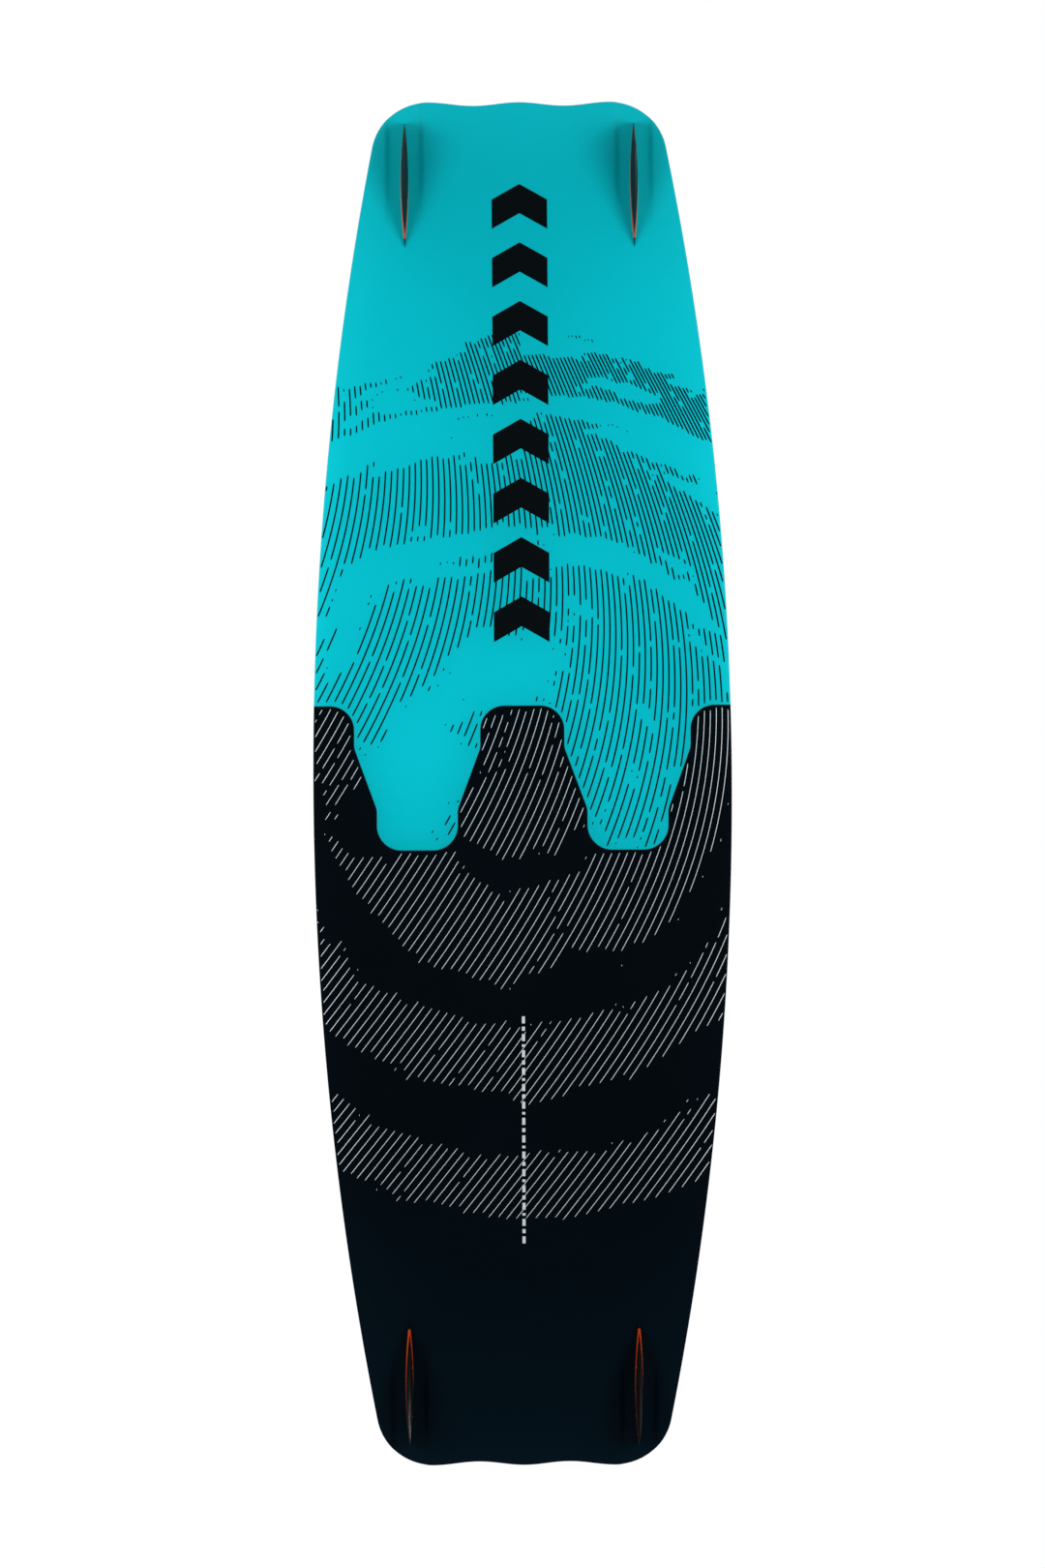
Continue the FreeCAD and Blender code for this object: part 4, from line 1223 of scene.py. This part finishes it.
def strap_padding(half, centre):
    """Padded band, puffed between its quilting lines."""
    stations = 64
    levels = (PADDING_INSET, STRAP_THICK - PADDING_INSET)
    section = padded_section(STRAP_HALF - 1.5, *levels, 3.4)
    size = len(section)
    quilted = set()
    for line in QUILT_LINES:
        for level in levels:
            away = [abs(x - line) + 9 * abs(offset - level) for x, offset in section]
            quilted.add(away.index(min(away)))
    held = []
    for i in range(stations + 1):
        for k in range(size):
            if k in quilted or i < HELD_STATIONS or i > stations - HELD_STATIONS:
                held.append(i * size + k)
    verts, faces = arch_band(section, 0.0, 1.0, stations, centre)
    pad = make_piece(half + "_strap_padding", verts, faces, strap_knit)
    inflate(pad, held, 1.3)
    refine(pad)
    attach(pad, half + "_pad", half + "_strap")


def strap_binding(half, centre, hand, side_name):
    """Webbing bound round one edge of the strap."""
    angles = [math.pi * k / 6 for k in range(12)]
    edge = hand * (STRAP_HALF - 1.6)
    loop = [(edge + 2.2 * math.cos(a), STRAP_THICK / 2 + 3.0 * math.sin(a)) for a in angles]
    verts, faces = arch_band(loop, 0.0, 1.0, 96, centre)
    binding = make_piece(half + "_strap_edge_" + side_name, verts, faces, tape_black)
    attach(binding, half + "_pad")


def strap_flap(half, centre):
    """Hook-and-loop flap over the webbing on top of the strap."""
    section = padded_section(FLAP_HALF, WEB_TOP, WEB_TOP + FLAP_THICK, 5.0)
    verts, faces = arch_band(section, 0.33, 0.67, 30, centre)
    flap = make_piece(half + "_strap_flap", verts, faces, strap_knit)
    attach(flap, half + "_pad")


def strap_stitches(half, centre):
    """Rows of stitches: two the length of the strap, two along the flap."""
    verts, faces = [], []
    angles = [math.pi * k / 3 for k in range(6)]
    rows = [(x, STRAP_THICK - 0.75, 0.12, 0.88, 44) for x in (-32.0, 32.0)]
    rows += [(x, WEB_TOP + FLAP_THICK, 0.345, 0.655, 18) for x in (-21.0, 21.0)]
    for x, offset, first, last, count in rows:
        loop = [(x + 0.55 * math.cos(a), offset + 0.4 * math.sin(a)) for a in angles]
        pitch = (last - first) / count
        for k in range(count):
            start = first + pitch * k
            stitch_verts, stitch_faces = arch_band(loop, start, start + pitch * 0.62, 2, centre)
            base = len(verts)
            verts += stitch_verts
            faces += [[base + v for v in face] for face in stitch_faces]
    stitches = make_piece(half + "_strap_stitches", verts, faces, thread_teal)
    attach(stitches, half + "_pad")


def strap(side, half):
    """Padded strap with bound edges, a flap and stitches."""
    centre = side * PAD_Y
    strap_padding(half, centre)
    strap_binding(half, centre, -1, "left")
    strap_binding(half, centre, 1, "right")
    strap_flap(half, centre)
    strap_stitches(half, centre)


# ================================================================ grab handle
GRIP_ROOM = 1.2
GRIP_CORNER = 6.5


def handle_grip():
    """Padded sleeve round the handle's webbing, with a flat seam underneath."""
    low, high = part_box("handle_grip")
    low, high = low / MM, high / MM
    centre_z = (low.z + high.z) / 2
    half_x = (high.x - low.x) / 2 - GRIP_ROOM
    half_z = (high.z - low.z) / 2 - GRIP_ROOM
    loop = rounded_rect(half_x, half_z, GRIP_CORNER, 0)
    size = len(loop)
    rows = 30
    verts, faces = [], []
    for i in range(rows + 1):
        y = low.y + (high.y - low.y) * i / rows
        near_end = min(i, rows - i)
        shrink = (0.86, 0.95, 1.0)[min(near_end, 2)]
        for p in loop:
            verts.append((p.x * shrink, y, centre_z + p.y * shrink))
    for i in range(rows):
        faces += stitch_rings(i * size, (i + 1) * size, size, True)
    faces.append(list(range(size)))
    faces.append([rows * size + k for k in range(size)][::-1])
    seam = min(range(size), key=lambda k: abs(loop[k].x) + (0 if loop[k].y < 0 else 99))
    held = []
    for i in range(rows + 1):
        for k in range(size):
            if i < 2 or i > rows - 2 or k == seam or i in (10, 20):
                held.append(i * size + k)
    grip = make_piece("handle_grip_sleeve", verts, faces, grip_black)
    inflate(grip, held, 1.5)
    refine(grip)
    attach(grip, "tail_half", "handle_grip")


# ================================================================ camera, light, floor
FRAME_HEIGHT_M = 1.574
CAMERA_DISTANCE_M = 4.6
CAMERA_SIDE_M = 0.11
CAMERA_ROLL = math.radians(0.25)


def make_camera():
    """Below the board, looking straight up at its hull, a little to one side."""
    centre = (cad_low + cad_high) / 2
    data = bpy.data.cameras.new("camera")
    data.lens = data.sensor_width * CAMERA_DISTANCE_M / FRAME_HEIGHT_M
    data.shift_x = CAMERA_SIDE_M / FRAME_HEIGHT_M
    data.clip_end = 50.0
    camera = bpy.data.objects.new("camera", data)
    facing = Matrix(((-1, 0, 0), (0, 1, 0), (0, 0, -1))).to_4x4()
    place = Matrix.Translation((centre.x + CAMERA_SIDE_M, centre.y, LIFT * MM - CAMERA_DISTANCE_M))
    camera.matrix_world = place @ facing @ Matrix.Rotation(-CAMERA_ROLL, 4, "Z")
    bpy.context.scene.collection.objects.link(camera)
    bpy.context.scene.camera = camera


def area_light(name, place, size, power):
    """Soft square light aimed at the board."""
    data = bpy.data.lights.new(name, "AREA")
    data.size = size
    data.energy = power
    light = bpy.data.objects.new(name, data)
    light.location = place
    aim = Vector((0, 0, 0.03)) - Vector(place)
    light.rotation_euler = aim.to_track_quat("-Z", "Y").to_euler()
    bpy.context.scene.collection.objects.link(light)


def make_floor():
    """Plain pale floor under the fin tips, seen only from above so that it hides no hull."""
    size = 6.0
    mesh = bpy.data.meshes.new("floor")
    corners = [(-size, -size, 0), (size, -size, 0), (size, size, 0), (-size, size, 0)]
    mesh.from_pydata(corners, [], [(0, 1, 2, 3)])
    material = bpy.data.materials.new("floor_paper")
    material.use_nodes = True
    tree = material.node_tree
    shader = tree.nodes["Principled BSDF"]
    shader.inputs["Base Color"].default_value = (0.80, 0.80, 0.80, 1.0)
    shader.inputs["Roughness"].default_value = 0.9
    clear = tree.nodes.new("ShaderNodeBsdfTransparent")
    side = tree.nodes.new("ShaderNodeNewGeometry")
    mix = tree.nodes.new("ShaderNodeMixShader")
    tree.links.new(side.outputs["Backfacing"], mix.inputs[0])
    tree.links.new(shader.outputs["BSDF"], mix.inputs[1])
    tree.links.new(clear.outputs["BSDF"], mix.inputs[2])
    tree.links.new(mix.outputs["Shader"], tree.nodes["Material Output"].inputs["Surface"])
    mesh.materials.append(material)
    floor = bpy.data.objects.new("floor", mesh)
    floor.location = (0, 0, cad_low.z - 0.0005)
    floor.visible_shadow = False
    floor.visible_glossy = False
    bpy.context.scene.collection.objects.link(floor)


def make_world():
    """White to the camera, softer as a light."""
    world = bpy.data.worlds.new("studio")
    bpy.context.scene.world = world
    world.use_nodes = True
    tree = world.node_tree
    light = tree.nodes["Background"]
    light.inputs["Color"].default_value = (1, 1, 1, 1)
    light.inputs["Strength"].default_value = 0.45
    seen = tree.nodes.new("ShaderNodeBackground")
    seen.inputs["Strength"].default_value = 1.0
    seen.inputs["Color"].default_value = (1, 1, 1, 1)
    path = tree.nodes.new("ShaderNodeLightPath")
    mix = tree.nodes.new("ShaderNodeMixShader")
    tree.links.new(path.outputs["Is Camera Ray"], mix.inputs[0])
    tree.links.new(light.outputs["Background"], mix.inputs[1])
    tree.links.new(seen.outputs["Background"], mix.inputs[2])
    tree.links.new(mix.outputs["Shader"], tree.nodes["World Output"].inputs["Surface"])
    bpy.context.scene.view_settings.view_transform = "Standard"


# ================================================================ build
make_camera()
make_world()
make_floor()
area_light("hull_left", (1.7, 0.25, -1.9), 1.1, 32)
area_light("hull_right", (-1.7, 0.35, -1.9), 1.1, 38)
area_light("deck_key", (1.6, -1.2, 2.4), 1.4, 34)
area_light("deck_fill", (-1.8, 1.4, 2.0), 2.0, 20)
dress_cad_nodes()

all_lines = print_lines()
for side, half, hull_film, deck_film, ink in (
        (1, "nose", hull_teal, deck_teal, ink_black), (-1, "tail", hull_black, deck_black, ink_white)):
    hull_shell(side, half, hull_film)
    deck_shell(side, half, deck_film)
    rail_strip(side, half, abs_black)
    width = 1.6 if side > 0 else 0.6
    hatch_piece(side, half, width, ink)
    for x, hand in ((-FIN_X, "left"), (FIN_X, "right")):
        stem = half + "_fin_" + hand
        fin_shell(stem + "_foil", x, side, FIN_FOOT, FIN_DEPTH, blade_black, half + "_half",
                  stem + "_blade")
        fin_shell(stem + "_base", x, side, -1.0, FIN_FOOT, base_orange, half + "_half",
                  stem + "_foot")
    footbed(side, half)
    strap(side, half)
chevron_column(ink_black)
tick_row(ink_white)
handle_grip()
